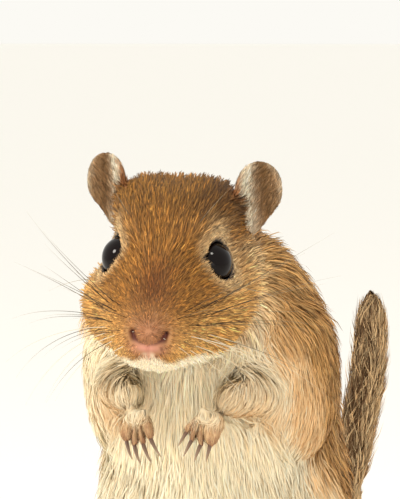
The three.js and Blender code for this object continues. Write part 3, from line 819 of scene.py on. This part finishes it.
# %% Marks of the tail, the ears and the paws
def tail_marks(points, rag):
    """Pale sides, a dark upper stripe and a dark tip: colour and root colour."""
    along, upper = dorsal_turn(points)
    end = tail_length[-1]
    dark = np.clip(step(upper + 0.06 * rag, 0.72, 0.97) + 0.9 * step(along, end - 10, end - 1), 0, 0.95)
    colour = mixed(PAINT["tail_side"], PAINT["orange"], 0.7 * step(-upper, -0.3, 0.7))
    colour = mixed(colour, PAINT["tail_back"], dark)
    return colour, mixed(colour, PAINT["under_brown"], 0.2)


def ear_marks(points):
    """A dark hollow, a cream front band, a pale rim, and a rust edge toward the head."""
    across = ear_place(points)[0]
    colour = mixed(PAINT["ear_skin"], PAINT["ear_hollow"], bell(across, 0.3, 0.35))
    colour = mixed(colour, PAINT["ear_band"], 0.95 * bell(across, -0.46, 0.36))
    colour = mixed(colour, PAINT["ear_band"], 0.5 * bell(across, 0.95, 0.12))
    return mixed(colour, PAINT["ear_inner"], 0.8 * step(-across, 0.78, 0.95))


def paw_marks(points):
    """Tan with painted shade in the grooves between the fingers, redder at the ends of the fingers."""
    groove, down = finger_groove(points)
    # painted shade in the grooves between the fingers, laid on twice
    colour = mixed(PAINT["paw"], PAINT["groove_shade"], 0.85 * groove)
    colour = mixed(colour, PAINT["buff"], np.clip(0.35 + 0.5 * wander(points, 0.6, 21), 0, 0.7))
    colour = mixed(colour, PAINT["groove_shade"], 0.6 * groove)
    colour = mixed(colour, PAINT["paw_end"], 0.75 * step(down, 0.6, 0.95))
    return mixed(colour, PAINT["buff"], 0.6 * step(0.4 - down, 0, 0.4))


# %% All marks together
def marks(points, parts, soft):
    """Root and middle colours of the coat at places on the skin, and the share of dark tips."""
    share = dict(zip(group_names, parts.T))
    x, y, z = points.T
    hx, hy, hz = to_head(points).T
    rag = wander(points, 5.0, 3) * 0.9 + wander(points, 1.7, 5) * 0.5
    on_face = share["head"] + share["nose"] > 0.3
    body, root, tick = body_marks(points, rag)
    head, head_root, head_tick = head_marks(points, rag)
    blend = np.clip(soft, 0, 1)
    body, root = mixed(body, head, blend), mixed(root, head_root, blend)
    tick = tick + (head_tick - tick) * blend

    # an orange patch at each elbow
    elbow = np.exp(-((z - 60.5) ** 2) / 12 - ((np.abs(x) - 11.5) ** 2) / 16) * share["arm"]
    body = mixed(body, PAINT["orange"], np.clip(0.9 * elbow, 0, 1))

    # tail, ears, paws and feet
    tail = np.clip(share["tail"] + share["brush"], 0, 1) * step(y + 0.2 * rag, 15, 20)
    tail_colour, tail_under = tail_marks(points, rag)
    body, root = mixed(body, tail_colour, tail), mixed(root, tail_under, tail)
    tick = tick + (0.16 - tick) * tail
    ear = np.clip(share["ear"] * 1.3, 0, 1)
    paw, foot = np.clip(share["paw"] * 1.2, 0, 1), np.clip(share["foot"] * 1.2, 0, 1)
    for colour, amount in ((ear_marks(points), ear), (paw_marks(points), paw), (PAINT["buff"], foot)):
        body, root = mixed(body, colour, amount), mixed(root, colour, amount)

    # nose: ticked above, pink below the nostrils, painted shade in the nostril slits, and lids round the eyes
    pad = bell(nose_distance(points), 0, 2.3)
    slits = np.clip(nostril_fold(points)[1] / 0.55, 0, 1)
    pink = bell(hx, 0, 1.9) * bell(hz, -8.5, 0.75) * (hy < -13)
    lids = step(3.95 - eye_distance(points), 0, 0.25)
    corner = np.linalg.norm(np.abs(to_head(points)) * [1, 0, 1] - np.abs(INNER_CORNER) * [1, 0, 1], axis=1)
    lids = np.maximum(lids, step(1.0 - corner, 0, 0.5) * (hy < -1) * (hz > 0))
    spots = [("nose", 0.7 * pad), ("lip", 0.95 * pink), ("lip", 0.5 * lip_cleft(points))]
    for name, amount in spots + [("nostril", slits), ("lid", lids)]:
        amount = np.clip(amount * on_face, 0, 1)
        body, root = mixed(body, PAINT[name], amount), mixed(root, PAINT[name], amount)
    tick = tick + (0.55 - tick) * pad * on_face
    tick = tick * (1 - np.clip(share["paw"] + share["foot"] + 0.6 * ear, 0, 1))
    return root, body, np.clip(tick, 0, 1)


# %% [markdown]
# ## Skin
# The skin shows on the nose, on the paws and in the ears. Between the hairs it stands for the undercoat, so
# it is only a little darker than they are. It is a matt, slightly uneven leather. Its colour comes from the
# markings, stored on the points of the mesh, and a fine noise a third of a millimetre across gives it grain.


# %% Paint the skin
def paint(mesh, name, colours):
    """Stores a colour for each point of a mesh."""
    layer = mesh.color_attributes.new(name, "FLOAT_COLOR", "POINT")
    values = np.ones((len(colours), 4), np.float32)
    values[:, :3] = colours
    layer.data.foreach_set("color", values.ravel())


roots, middles, _ = marks(skin_points, masks, soft_head)
bare_share = np.clip(share_of("nose", "ear", "paw"), 0, 1)
paint(skin.data, "coat_colour", mixed(0.28 * roots + 0.66 * middles, middles, bare_share))

GRAIN = 0.33  # mm across one grain
# Living skin, fine and dry: a soft sheen that the grain breaks up.
leather, tree, output = new_material("skin")
colour = add(tree, "ShaderNodeVertexColor", layer_name="coat_colour")
place = add(tree, "ShaderNodeTexCoord")
grain_look = {"Vector": (place, "Object"), "Scale": 1 / (GRAIN * MM), "Detail": 3.0}
grain = add(tree, "ShaderNodeTexNoise", grain_look)
bump = add(tree, "ShaderNodeBump", {"Height": (grain, "Fac"), "Strength": 0.35, "Distance": 0.08 * MM})
shade = add(
    tree,
    "ShaderNodeBsdfPrincipled",
    {"Base Color": (colour, "Color"), "Roughness": 0.6, "Normal": (bump, "Normal")},
)
tree.links.new(shade.outputs[0], output.inputs["Surface"])
skin.data.materials.clear()
skin.data.materials.append(leather)
print("skin painted, bare on", int((bare_share > 0.5).sum()), "points")

# %% [markdown]
# ## The lie of the coat
# Fur grows backwards from the nose, over the crown and cheeks, down the neck and body and out along each
# limb, like grass combed by a stream. It could be combed by hand with hair brushes, but that can't be written
# down. A few guide directions at known places stand for the comb, and between them the directions are blended
# by distance and laid flat on the skin.

# %% Comb directions
CHEST_FAN = 0.45  # how far chest hair leans outwards for each unit down
ARM_PULL = 0.3  # how far the forearm's hair turns from the chest's way toward the wrist
body_guides = []  # place in mm and direction
for sign in (1, -1):
    body_guides += [
        ((sign * 3, -26, 60), (sign * 0.12, 0, -1)),
        ((sign * 12, -24, 66), (sign * CHEST_FAN, 0.1, -1)),
        ((sign * 17, -14, 66), (sign * 0.2, 0.6, -0.9)),
        ((sign * 19, -2, 62), (0, 0.7, -0.9)),
        ((sign * 16, 8, 70), (0, 0.8, -0.7)),
        ((sign * 19, 0, 45), (0, 0.45, -1)),
        ((sign * 8, -21, 45), (sign * 0.2, 0, -1)),
        ((sign * 18, -10, 20), (0, -0.1, -1)),
        ((sign * 12, -24, 10), (0, -0.6, -0.6)),
        ((sign * 12, -6, 3), (sign * 0.2, -0.4, -0.3)),
        ((sign * 9, -28, 62), (sign * 0.15, -0.3, -1)),
        ((sign * 14, -24, 60), (sign * 0.3, -0.1, -1)),
    ]
body_guides += [
    ((0, 19, 45), (0, 0, -1)),
    ((0, 10, 74), (0, 0.5, -0.9)),
    ((0, -6, 88), (0, 1, 0.1)),
    ((0, 17, 15), (0, 0.3, -1)),
    ((0, 14, 6), (0, 1, -0.2)),
    ((0, -22, 30), (0, 0, -1)),
]
GUIDE_PLACES = np.array([g[0] for g in body_guides], float)
GUIDE_WAYS = unit(np.array([g[1] for g in body_guides], float))
print(len(body_guides), "comb guides")


def turned(way, other, share):
    """Directions turned toward others by a share."""
    return unit(way * (1 - share) + other * share)


def comb(points, normals, parts, soft):
    """The direction that a hair lies in at places on the skin, flat on the skin."""
    share = dict(zip(group_names, parts.T))
    gaps = ((points[:, None] - GUIDE_PLACES[None]) ** 2).sum(2)
    weights = 1 / (gaps + 12) ** 2
    body = unit((weights[:, :, None] * GUIDE_WAYS[None]).sum(1) / weights.sum(1, keepdims=True))
    local = to_head(points)
    away_from_nose = unit(local - (NOSE_SPOT + np.array([0, -1.0, 1.5])))
    away_from_nose = from_head(unit(away_from_nose + np.array([0, 0.35, -0.12])))
    arm = np.clip(share["arm"] * 1.3, 0, 1)[:, None]
    own_wrist = wrists[(points[:, 0] < 0).astype(int)]
    near_wrist = np.exp(-((np.linalg.norm(points - own_wrist, axis=1) / 3.5) ** 2))[:, None]
    down_arm = turned(unit(own_wrist - points), np.array([0, -0.3, -1.0]), near_wrist)
    body = turned(body, down_arm, arm * (ARM_PULL + (1 - ARM_PULL) * near_wrist))
    way = turned(body, away_from_nose, np.clip(soft, 0, 1)[:, None])
    at = np.linalg.norm(points[:, None] - tail_line[None], axis=2).argmin(1)
    way = turned(way, tail_way[at], np.clip(share["tail"] + share["brush"], 0, 1)[:, None])
    ear_way = from_head(np.sign(local[:, :1]) * np.array([0.5, 0, 0]) + np.array([0, 0, 1.0]))
    way = turned(way, ear_way, share["ear"][:, None])
    way = turned(way, np.array([0, -0.1, -1.0]), share["paw"][:, None])
    way = turned(way, np.array([0, -1.0, -0.1]), share["foot"][:, None])
    return unit(way - normals * (way * normals).sum(1, keepdims=True))


# %% [markdown]
# ## Growing tufts
# Real fur has tens of thousands of hairs in each square centimetre, far more than a mesh can hold, so each
# mesh hair stands for a few real ones that lie together. Hair curves or a Geometry Nodes scatter could grow
# them, but each blade's colours, lean and normals come from the same arithmetic as the markings, so they are
# worked out here for all blades at once and written straight into a mesh. A tuft is a flat, tapering blade
# of five triangles. Its root is sunk in the skin, its middle and tip follow the skin's curve at their
# heights, and neighbours lean together at their tips as real hair does.

# %% Scatter roots over the skin
skin.data.calc_loop_triangles()
triangles = np.empty(len(skin.data.loop_triangles) * 3, np.int32)
skin.data.loop_triangles.foreach_get("vertices", triangles)
triangles = triangles.reshape(-1, 3)
corner_points = skin_points[triangles]
face_cross = np.cross(corner_points[:, 1] - corner_points[:, 0], corner_points[:, 2] - corner_points[:, 0])
face_area = np.linalg.norm(face_cross, axis=1) / 2
skin_normals = normals_of(skin.data)
surface = BVHTree.FromPolygons([tuple(p) for p in skin_points], [tuple(t) for t in triangles])
print("skin", len(triangles), "triangles,", int(face_area.sum()), "square mm")


def scatter(density, count):
    """Random places on the skin: a triangle and the shares of its corners for each."""
    weights = face_area * density[triangles].mean(1)
    chosen = rng.choice(len(triangles), count, p=weights / weights.sum())
    a, b = rng.random((2, count))
    over = a + b > 1
    a[over], b[over] = 1 - a[over], 1 - b[over]
    return triangles[chosen], np.stack([1 - a - b, a, b], 1)


def at_places(values, places):
    """Values stored on the skin's points, read at scattered places."""
    corners, shares = places
    return np.einsum("ij,ij...->i...", shares, values[corners])


def nearest_on_skin(points):
    """The nearest place on the skin and its normal, for each point."""
    found = [surface.find_nearest(p) for p in points]
    spots = np.array([f[0] for f in found])
    ways = np.array([f[1] for f in found])
    return spots, ways


# %% Sizes of a blade
ROWS = np.array([0.0, 0.38, 0.72, 1.0])  # where a blade bends, as shares of its length
ROW_WIDTH = np.array([0.75, 1.0, 0.62, 0.0])  # and how wide it is there
ROOT_SUNK = 0.15  # mm under the skin
MIDDLE_RISE = 0.68  # height of the middle as a share of the tip's
CLUMP = 14  # tufts that lean together
PATCH = 0.003  # size of a tuft's patch on the unwrap
STIFF = 0.24  # how far a blade is shaded by its own face, the rest by the skin under it
BLADE_ROLL = 0.5  # radians that blades are turned about their length, at random
MIDDLE_PULL = 0.35  # how far a middle joins its clump, as a share of its tip's way
print("a blade has", len(ROWS), "rows")


# %% Make blades of fur
def blades(places, length, height, width, lean, clump, parts_at, soft_at):
    """Blade corners (tufts, 7, 3) in mm. Length, height and width are in mm, one for each tuft."""
    roots = at_places(skin_points, places)
    root_normals = unit(at_places(skin_normals, places))
    count = len(roots)
    turn = rng.normal(0, lean, count)[:, None]
    way = comb(roots, root_normals, parts_at, soft_at)
    way = unit(way * np.cos(turn) + np.cross(root_normals, way) * np.sin(turn))
    middle_spots, middle_normals = nearest_on_skin(roots + way * length[:, None] * 0.5)
    bent = comb(middle_spots, middle_normals, parts_at, soft_at)
    bent = unit(bent * np.cos(turn * 0.6) + np.cross(middle_normals, bent) * np.sin(turn * 0.6))
    tip_spots, tip_normals = nearest_on_skin(middle_spots + bent * length[:, None] * 0.5)
    low = roots - root_normals * ROOT_SUNK
    mid = middle_spots + middle_normals * (height * MIDDLE_RISE)[:, None]
    tip = tip_spots + tip_normals * height[:, None]
    if clump > 0:
        seeds = rng.choice(count, max(1, count // CLUMP), replace=False)
        tree = KDTree(len(seeds))
        for i, seed in enumerate(seeds):
            tree.insert(roots[seed], i)
        tree.balance()
        owner = seeds[[tree.find(p)[1] for p in roots]]
        pull = (clump * rng.uniform(0.3, 1, count))[:, None]
        tip = tip + (tip[owner] - tip) * pull
        mid = mid + (mid[owner] - mid) * pull * MIDDLE_PULL
    knot = 2 * mid - (low + tip) / 2  # so that the curve from low to tip passes through mid
    rows, ways = [], []
    lower_normals, upper_normals = (root_normals + middle_normals) / 2, (middle_normals + tip_normals) / 2
    skin_way = [root_normals, lower_normals, upper_normals, tip_normals]
    roll = rng.normal(0, BLADE_ROLL, count)[:, None]
    for share, row_width, skin_normal in zip(ROWS, ROW_WIDTH, skin_way):
        centre = (1 - share) ** 2 * low + 2 * share * (1 - share) * knot + share**2 * tip
        along = unit(2 * (1 - share) * (knot - low) + 2 * share * (tip - knot))
        flat = unit(np.cross(along, middle_normals))
        flat = unit(flat * np.cos(roll) + np.cross(along, flat) * np.sin(roll))
        reach = flat * (width * row_width / 2)[:, None]
        face_way = np.cross(flat, along)
        face_way *= np.sign((face_way * skin_normal).sum(1, keepdims=True))
        soft_way = unit(unit(skin_normal) * (1 - STIFF) + face_way * STIFF)
        rows += [centre] if row_width == 0 else [centre - reach, centre + reach]
        ways += [soft_way] if row_width == 0 else [soft_way, soft_way]
    corners = np.stack(rows, 1)
    corners[:, :, 2] = np.maximum(corners[:, :, 2], 0.02)  # no hair goes under the floor
    return roots, corners, np.stack(ways, 1)


# %% Turn blades into a mesh
BLADE_LOOPS = np.array([0, 1, 3, 2, 2, 3, 5, 4, 4, 5, 6])  # two quads and a triangle
BLADE_FACES = np.array([0, 4, 8])  # where each face starts in that list
BLADE_ROW = np.array([0, 0, 1, 1, 2, 2, 3])  # the row of each corner
BLADE_SIDE = np.array([-1, 1, -1, 1, -1, 1, 0])  # and on which side of the middle it is


def coat_piece(name, corners, ways, colours, unwrap, material):
    """One mesh object from blades, with their colours and the OFBake map."""
    count = len(corners)
    mesh = bpy.data.meshes.new(name)
    mesh.vertices.add(count * len(BLADE_ROW))
    mesh.vertices.foreach_set("co", (corners * MM).astype(np.float32).ravel())
    loops = (np.arange(count)[:, None] * len(BLADE_ROW) + BLADE_LOOPS[None]).ravel()
    starts = (np.arange(count)[:, None] * len(BLADE_LOOPS) + BLADE_FACES[None]).ravel()
    mesh.loops.add(count * len(BLADE_LOOPS))
    mesh.polygons.add(count * len(BLADE_FACES))
    mesh.loops.foreach_set("vertex_index", loops.astype(np.int32))
    mesh.polygons.foreach_set("loop_start", starts.astype(np.int32))
    shade_smooth(mesh)
    mesh.update(calc_edges=True)
    mesh.normals_split_custom_set_from_vertices(ways.reshape(-1, 3).tolist())
    paint(mesh, "coat_colour", colours.reshape(-1, 3))
    spread = np.stack([BLADE_SIDE * PATCH / 2, (ROWS[BLADE_ROW] - 0.5) * PATCH], 1)
    uv = (0.01 + 0.98 * unwrap[:, None, :] + spread[None])[:, BLADE_LOOPS]
    mesh.uv_layers.new(name="OFBake").data.foreach_set("uv", uv.astype(np.float32).ravel())
    mesh.materials.append(material)
    made = bpy.data.objects.new(name, mesh)
    bpy.context.scene.collection.objects.link(made)
    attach(made, "root")
    print(name, count, "tufts,", count * 5, "triangles")
    return made


# %% [markdown]
# ## Fur
# A hair is a smooth, thin horn fibre: matt from afar with a faint silky shine. The colour of each blade is
# stored on its corners, from the grey root over the bright middle to a tip that is dark on some hairs. A hair
# shader works on curves alone, so a plain surface does it here, and the blades' normals lean on the skin's to
# keep the light as soft as on real fur.

# %% The fur material
# Hair, smooth and slightly oiled: a faint silky shine on a matt mass.
fur, tree, output = new_material("agouti_fur")
colour = add(tree, "ShaderNodeVertexColor", layer_name="coat_colour")
shade = add(
    tree,
    "ShaderNodeBsdfPrincipled",
    {"Base Color": (colour, "Color"), "Roughness": 0.62, "Specular IOR Level": 0.25},
)
tree.links.new(shade.outputs[0], output.inputs["Surface"])


def hair_colours(roots, parts_at, soft_at):
    """Colours of the seven corners of each blade. Ticked and head fur is more uneven than cream fur."""
    root, middle_colour, tick = marks(roots, parts_at, soft_at)
    count = len(roots)
    unevenness = 0.05 + 0.08 * step(tick, 0, 0.2) + 0.17 * np.clip(soft_at, 0, 1)
    light = np.exp(rng.normal(0, unevenness, count))[:, None]
    warm = rng.normal(0, 0.05, (count, 1)) * np.array([1.0, 0.0, -1.0])
    middle_colour = np.clip(middle_colour * light * (1 + warm), 0, 1)
    dark = (rng.random(count) < tick)[:, None]
    tip = np.where(dark, mixed(middle_colour, PAINT["tick"], 0.88), middle_colour * 1.15)
    second = np.where(dark, mixed(middle_colour, PAINT["tick"], 0.6), middle_colour * 1.06)
    rows = [mixed(root, middle_colour, 0.35) * light, mixed(root, middle_colour, 0.75), second, tip]
    return np.clip(np.stack([rows[r] for r in BLADE_ROW], 1), 0, 1)


# %% [markdown]
# ## The coat, part by part
# Each part of the coat has its own hair length, blade width and density. They are named here in one table
# and grown in one loop. The unwrap of each part is its own shape seen from a pole through it: longitude
# and latitude around the part's middle.

# %% Length, width and height of the hair
HAIR_LENGTH = {  # mm
    "head": 3.0, "nose": 2.3, "ear": 1.5, "paw": 1.5, "foot": 1.4,
    "arm": 4.8, "thigh": 6.0, "tail": 2.6, "brush": 7.5, "body": 6.6,
}  # fmt: skip
HAIR_WIDTH = {  # mm across a tuft
    "head": 0.18, "nose": 0.13, "ear": 0.1, "paw": 0.07, "foot": 0.11,
    "arm": 0.16, "thigh": 0.21, "tail": 0.15, "brush": 0.18, "body": 0.2,
}  # fmt: skip
# The least height of the tips over the skin, in mm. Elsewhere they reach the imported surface.
HAIR_HEIGHT = {"ear": 0.25, "paw": 0.22, "foot": 0.3, "brush": 2.1, "nose": 0.2}


def on_skin(table):
    """A table's values for the parts, blended over the points of the skin."""
    return masks @ np.array([table.get(g, 0.0) for g in group_names])


hair_length = on_skin(HAIR_LENGTH)
hair_length *= 1 - share_of("arm") * 0.55 * (1 - wrist_thin)
hair_width = on_skin(HAIR_WIDTH)
hair_height = np.maximum(depth, on_skin(HAIR_HEIGHT))
along_tail, _ = dorsal_turn(skin_points)
point_of_brush = 1 - 0.75 * step(along_tail, tail_length[-1] - 11, tail_length[-1])
hair_height *= 1 - share_of("brush") * (1 - point_of_brush)
off_nose, off_eyes = nose_distance(skin_points), eye_distance(skin_points)
face_short = step(off_nose, 1.5, 15.0) * (0.35 + 0.65 * step(off_eyes, 3.4, 8.0))
hair_length *= 1 - face * (1 - np.maximum(face_short, 0.33))
hair_width *= 1 - face * 0.5 * (1 - face_short)
print("hair from", hair_length.min().round(2), "to", hair_length.max().round(2), "mm long")

# %% Bare places on the face
near_corner = np.linalg.norm(np.abs(to_head(skin_points)) - np.abs(INNER_CORNER), axis=1) < 0.7
socket = ((eye_distance(skin_points) < 3.9) | near_corner) & (face > 0.5)
socket |= (nostril_fold(skin_points)[0] > 0.18) & (face > 0.3)
lip_spot = to_head(skin_points) - np.array([0.0, -16.0, -8.6])
socket |= np.linalg.norm(lip_spot / [1.7, 3.0, 0.8], axis=1) < 1
print("bare round the eyes, nostrils and lip", int(socket.sum()), "points")

# %% Grow the coat
WAIST, FRONT = (44, 46), (8, 10)  # mm, where one piece of the body's coat fades into the next
upper_body = step(skin_points[:, 2], *WAIST)
front_half = step(-skin_points[:, 1], *FRONT)
COATS = {  # where it grows, tufts, sideways spread, clumping
    "coat_face": (share_of("head", "nose") * (to_head(skin_points)[:, 1] < -1.5), 39000, 0.2, 0.2),
    "coat_crown": (share_of("head") * (to_head(skin_points)[:, 1] >= -1.5), 39000, 0.2, 0.25),
    "coat_chest": (share_of("body", "arm") * upper_body * (skin_points[:, 1] < -10), 39900, 0.2, 0.28),
    "coat_back": (share_of("body", "arm") * upper_body * (skin_points[:, 1] >= -10), 39000, 0.2, 0.35),
    "coat_belly": (share_of("body", "thigh") * (1 - upper_body) * front_half, 30000, 0.18, 0.25),
    "coat_rump": (share_of("body", "thigh") * (1 - upper_body) * (1 - front_half), 30000, 0.22, 0.35),
    "coat_tail": (share_of("tail", "brush"), 26000, 0.25, 0.2),
    "coat_ears": (share_of("ear"), 11000, 0.25, 0.3),
    "coat_paws": (share_of("paw", "foot") * (1 - 0.8 * groove * share_of("paw")), 14000, 0.25, 0.1),
}
STANDING = {"coat_crown": 0.75, "coat_face": 0.5}  # how much higher one tuft in eight stands
QUICK = 1.0  # a draft grows a quarter of the tufts, and wider ones
QUICK_WIDTH = 1.0 if QUICK == 1 else 1.6


def unwrapped(roots):
    """Longitude and latitude of roots around their own middle, from 0 to 1."""
    centred = roots - (roots.min(0) + roots.max(0)) / 2
    turn = np.arctan2(centred[:, 1], centred[:, 0]) / (2 * math.pi) + 0.5
    rise = np.arctan2(centred[:, 2], np.hypot(centred[:, 0], centred[:, 1])) / math.pi + 0.5
    return np.stack([turn, rise], 1)


for name, (where, count, lean, clump) in COATS.items():
    where = np.where(socket, 0, where)
    places = scatter(np.clip(where, 0, 1), int(count * QUICK))
    parts_at = at_places(masks, places)
    soft_at = at_places(soft_head, places)
    size = len(parts_at)
    length = at_places(hair_length, places) * rng.uniform(0.7, 1.15, size)
    height = at_places(hair_height, places) * rng.uniform(0.45, 1.05, size)
    height *= 1 + STANDING.get(name, 0.3) * (rng.random(size) < 0.12)
    width = at_places(hair_width, places) * rng.uniform(0.7, 1.3, size) * QUICK_WIDTH
    roots, corners, ways = blades(places, length, height, width, lean, clump, parts_at, soft_at)
    coat_piece(name, corners, ways, hair_colours(roots, parts_at, soft_at), unwrapped(roots), fur)

# %% [markdown]
# ## Whiskers
# Whiskers are single stiff hairs, thick at the root and tapering over two or three centimetres. Each one is
# drawn as a line of points that bends back and down, and a small node tree gives all the lines thickness at
# once: it turns edges into curves, sweeps a circle along them and scales it by the share stored on each
# point. Tubes modelled one by one would be much more work to change.

# %% The node tree that thickens a line
WHISKER_RADIUS = 0.052  # mm at the root
SIDES_ROUND = 6  # corners of a whisker cut across


def thickener(name, material):
    """Lines to tapering tubes: edges become curves, and a circle is swept along them."""
    group = bpy.data.node_groups.new(name, "GeometryNodeTree")
    group.interface.new_socket("Geometry", in_out="INPUT", socket_type="NodeSocketGeometry")
    group.interface.new_socket("Root radius", in_out="INPUT", socket_type="NodeSocketFloat")
    group.interface.new_socket("Geometry", in_out="OUTPUT", socket_type="NodeSocketGeometry")
    entry = add(group, "NodeGroupInput")
    lines = add(group, "GeometryNodeMeshToCurve", {"Mesh": (entry, "Geometry")})
    taper = add(group, "GeometryNodeInputNamedAttribute", {"Name": "taper"}, data_type="FLOAT")
    sizes = {0: (taper, "Attribute"), 1: (entry, "Root radius")}
    size = add(group, "ShaderNodeMath", sizes, operation="MULTIPLY")
    ring = add(group, "GeometryNodeCurvePrimitiveCircle", {"Resolution": SIDES_ROUND, "Radius": 1.0})
    swept_along = {"Curve": (lines, "Curve"), "Profile Curve": (ring, "Curve"), "Scale": (size, 0)}
    sweep = add(group, "GeometryNodeCurveToMesh", {**swept_along, "Fill Caps": True})
    real = add(group, "GeometryNodeRealizeInstances", {"Geometry": (sweep, "Mesh")})
    dressed = add(group, "GeometryNodeSetMaterial", {"Geometry": (real, "Geometry"), "Material": material})
    add(group, "NodeGroupOutput", {"Geometry": (dressed, "Geometry")})
    return group


# %% The whisker material
# A stiff hair shaft: smooth keratin with little shine, because it is so thin.
hair_shaft, tree, output = new_material("whisker_keratin")
colour = add(tree, "ShaderNodeVertexColor", layer_name="coat_colour")
shade = add(
    tree,
    "ShaderNodeBsdfPrincipled",
    {"Base Color": (colour, "Color"), "Roughness": 0.5, "Specular IOR Level": 0.1},
)
tree.links.new(shade.outputs[0], output.inputs["Surface"])
PALE_SHAFT, DARK_SHAFT, SHAFT_END = linear("#e6d8bd"), linear("#24160c"), linear("#d8c6a6")

# %% Lay out the whiskers
WHISKER_STEPS = 18  # points along one whisker
ROW_COUNT, COLUMN_COUNT = 5, 5  # on each cheek
WHISKER_SUNK = 0.3  # mm under the skin
t = np.linspace(0, 1, WHISKER_STEPS)[:, None]
lines, tints = [], []


def whisker(root, way, length, bend, dark):
    """One whisker in head mm: where it starts, its way, its length, how it bends, and how dark it is."""
    spot, _ = nearest_on_skin([from_head(np.array(root)) + head_origin])
    straight = unit(np.array(way, float))
    path = straight * t + np.array(bend) * t**2
    lines.append(spot[0] + from_head(path) * length - from_head(straight) * WHISKER_SUNK)
    tints.append(mixed(mixed(PALE_SHAFT, DARK_SHAFT, dark), SHAFT_END, 0.75 * t[:, 0] ** 2))


for sign in (1, -1):
    for row in range(ROW_COUNT):
        for column in range(COLUMN_COUNT):
            if row == 0 and column == 0:  # too close to the nostril
                continue
            root = (sign * (3.0 + 0.95 * column), -13.6 + 1.25 * column, -4.0 - 1.05 * row - 0.15 * column)
            root = np.array(root) + rng.normal(0, 0.15, 3)
            way = np.array([sign, 0.1 + 0.16 * column, 0.62 - 0.29 * row]) + rng.normal(0, 0.07, 3)
            length = (8 + 4.6 * column) * rng.uniform(0.8, 1.15)
            bend = (-0.1 * sign, 0.25, -0.12 - 0.06 * row)
            whisker(root, way, length, bend, 1.0 if row < 3 or rng.random() < 0.3 else 0.15)
    # one long hair over each eye and one on each cheek
    whisker((sign * 4.6, -3.0, 6.0), (sign * 0.6, 0.1, 1.0), 8, (sign * 0.1, 0.3, -0.1), 0.9)
    whisker((sign * 10.5, 1.0, -3.5), (sign * 1.0, 0.3, -0.1), 9, (0, 0.2, -0.3), 0.6)

# %% Thicken the whiskers
mesh = bpy.data.meshes.new("whiskers")
points = np.concatenate(lines)
starts = np.arange(len(lines))[:, None] * WHISKER_STEPS + np.arange(WHISKER_STEPS - 1)[None]
mesh.from_pydata((points * MM).tolist(), [(int(i), int(i) + 1) for i in starts.ravel()], [])
paint(mesh, "coat_colour", np.concatenate(tints))
taper = np.tile(np.clip(1 - t[:, 0] ** 1.3, 0.12, 1), len(lines)).astype(np.float32)
mesh.attributes.new("taper", "FLOAT", "POINT").data.foreach_set("value", taper)
whiskers = linked("whiskers", mesh)
swept = whiskers.modifiers.new("thicken", "NODES")
group = thickener("whisker_sweep", hair_shaft)
radius_socket = next(i.identifier for i in group.interface.items_tree if i.name == "Root radius")
swept.node_group = group
swept[radius_socket] = WHISKER_RADIUS * MM
applied(whiskers)
shade_smooth(whiskers.data)
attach(whiskers, "root")
print("whiskers", len(lines), "hairs,", len(whiskers.data.polygons), "faces")

# %% [markdown]
# ## Eyes
# A gerbil's eye is a large dark bead, wet and almost black. A new sphere would do, but a copy of the packed
# ball keeps its exact place, and two levels of subdivision make it round. Its surface is polished, so each
# lamp draws a small, sharp spot in it, but it mirrors little else, because the lids and the fur around it keep
# the room's light off.

# %% The eyes
def rounded(name, node, material):
    """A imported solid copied, rounded and given a material."""
    made = subdivided(linked(name, merged_copy([node], 0)))
    shade_smooth(made.data)
    made.data.materials.clear()
    made.data.materials.append(material)
    return made


# A wet, clear film over near black: a mirror for lamps, and dark between them.
bead, tree, output = new_material("wet_dark_eye")
shade = add(
    tree,
    "ShaderNodeBsdfPrincipled",
    {"Base Color": (*linear("#0d0504"), 1), "Roughness": 0.07, "Specular IOR Level": 0.16},
)
tree.links.new(shade.outputs[0], output.inputs["Surface"])

for side in SIDES:
    node = f"eye_{side}"
    ball = rounded(f"eyeball_{side}", node, bead)
    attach(ball, "root")
    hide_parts(node)
    print(ball.name, len(ball.data.polygons), "faces")

# %% [markdown]
# ## Claws
# The claws are dark horn, nearly black brown at the root and paler toward the worn tip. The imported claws
# have few sides, so copies are subdivided until they are smooth. Their colour follows the distance from
# the root, stored on the points.

# %% The claw material
# Keratin in layers, worn smooth: a soft gloss with a thin clear top.
horn, tree, output = new_material("claw_horn")
colour = add(tree, "ShaderNodeVertexColor", layer_name="coat_colour")
shade = add(
    tree,
    "ShaderNodeBsdfPrincipled",
    {"Base Color": (colour, "Color"), "Roughness": 0.32, "Coat Weight": 0.2},
)
tree.links.new(shade.outputs[0], output.inputs["Surface"])
HORN_ROOT, HORN_TIP = linear("#4a2416"), linear("#a58a6c")

# %% The claws
CLAW_SUNK = 0.7  # mm that a claw's root goes on into its finger
paw_centres = {}
for side in SIDES:
    for limb, paw in (("fore", "forepaw"), ("hind", "hindfoot")):
        paw_centres[limb, side] = centre_of(f"{paw}_{side}")
for node in sorted(n for n in nodes if n.startswith("claw_")):
    _, limb, side, digit = node.split("_")
    claw = rounded(f"claw_{limb}_{side}_{digit}_horn", node, horn)
    shape = points_of(claw.data)
    reach = np.linalg.norm(shape - paw_centres[limb, side], axis=1)
    share = (reach - reach.min()) / (reach.max() - reach.min())
    root, tip = shape[share < 0.15].mean(0), shape[share > 0.9].mean(0)
    shape += unit(root - tip) * (CLAW_SUNK * (1 - share[:, None]) ** 2)
    move_points(claw.data, shape)
    paint(claw.data, "coat_colour", mixed(HORN_ROOT, HORN_TIP, share))
    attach(claw, "root")
    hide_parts(node)
print("claws of horn", sum(n.startswith("claw_") for n in nodes))

# %% [markdown]
# ## Finish
# The skin stands for all the solids of flesh.

# %% Finish the scene
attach(skin, "root")
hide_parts(*[n for n in nodes if not n.startswith(("eye_", "claw_"))])
bpy.data.meshes.remove(core)
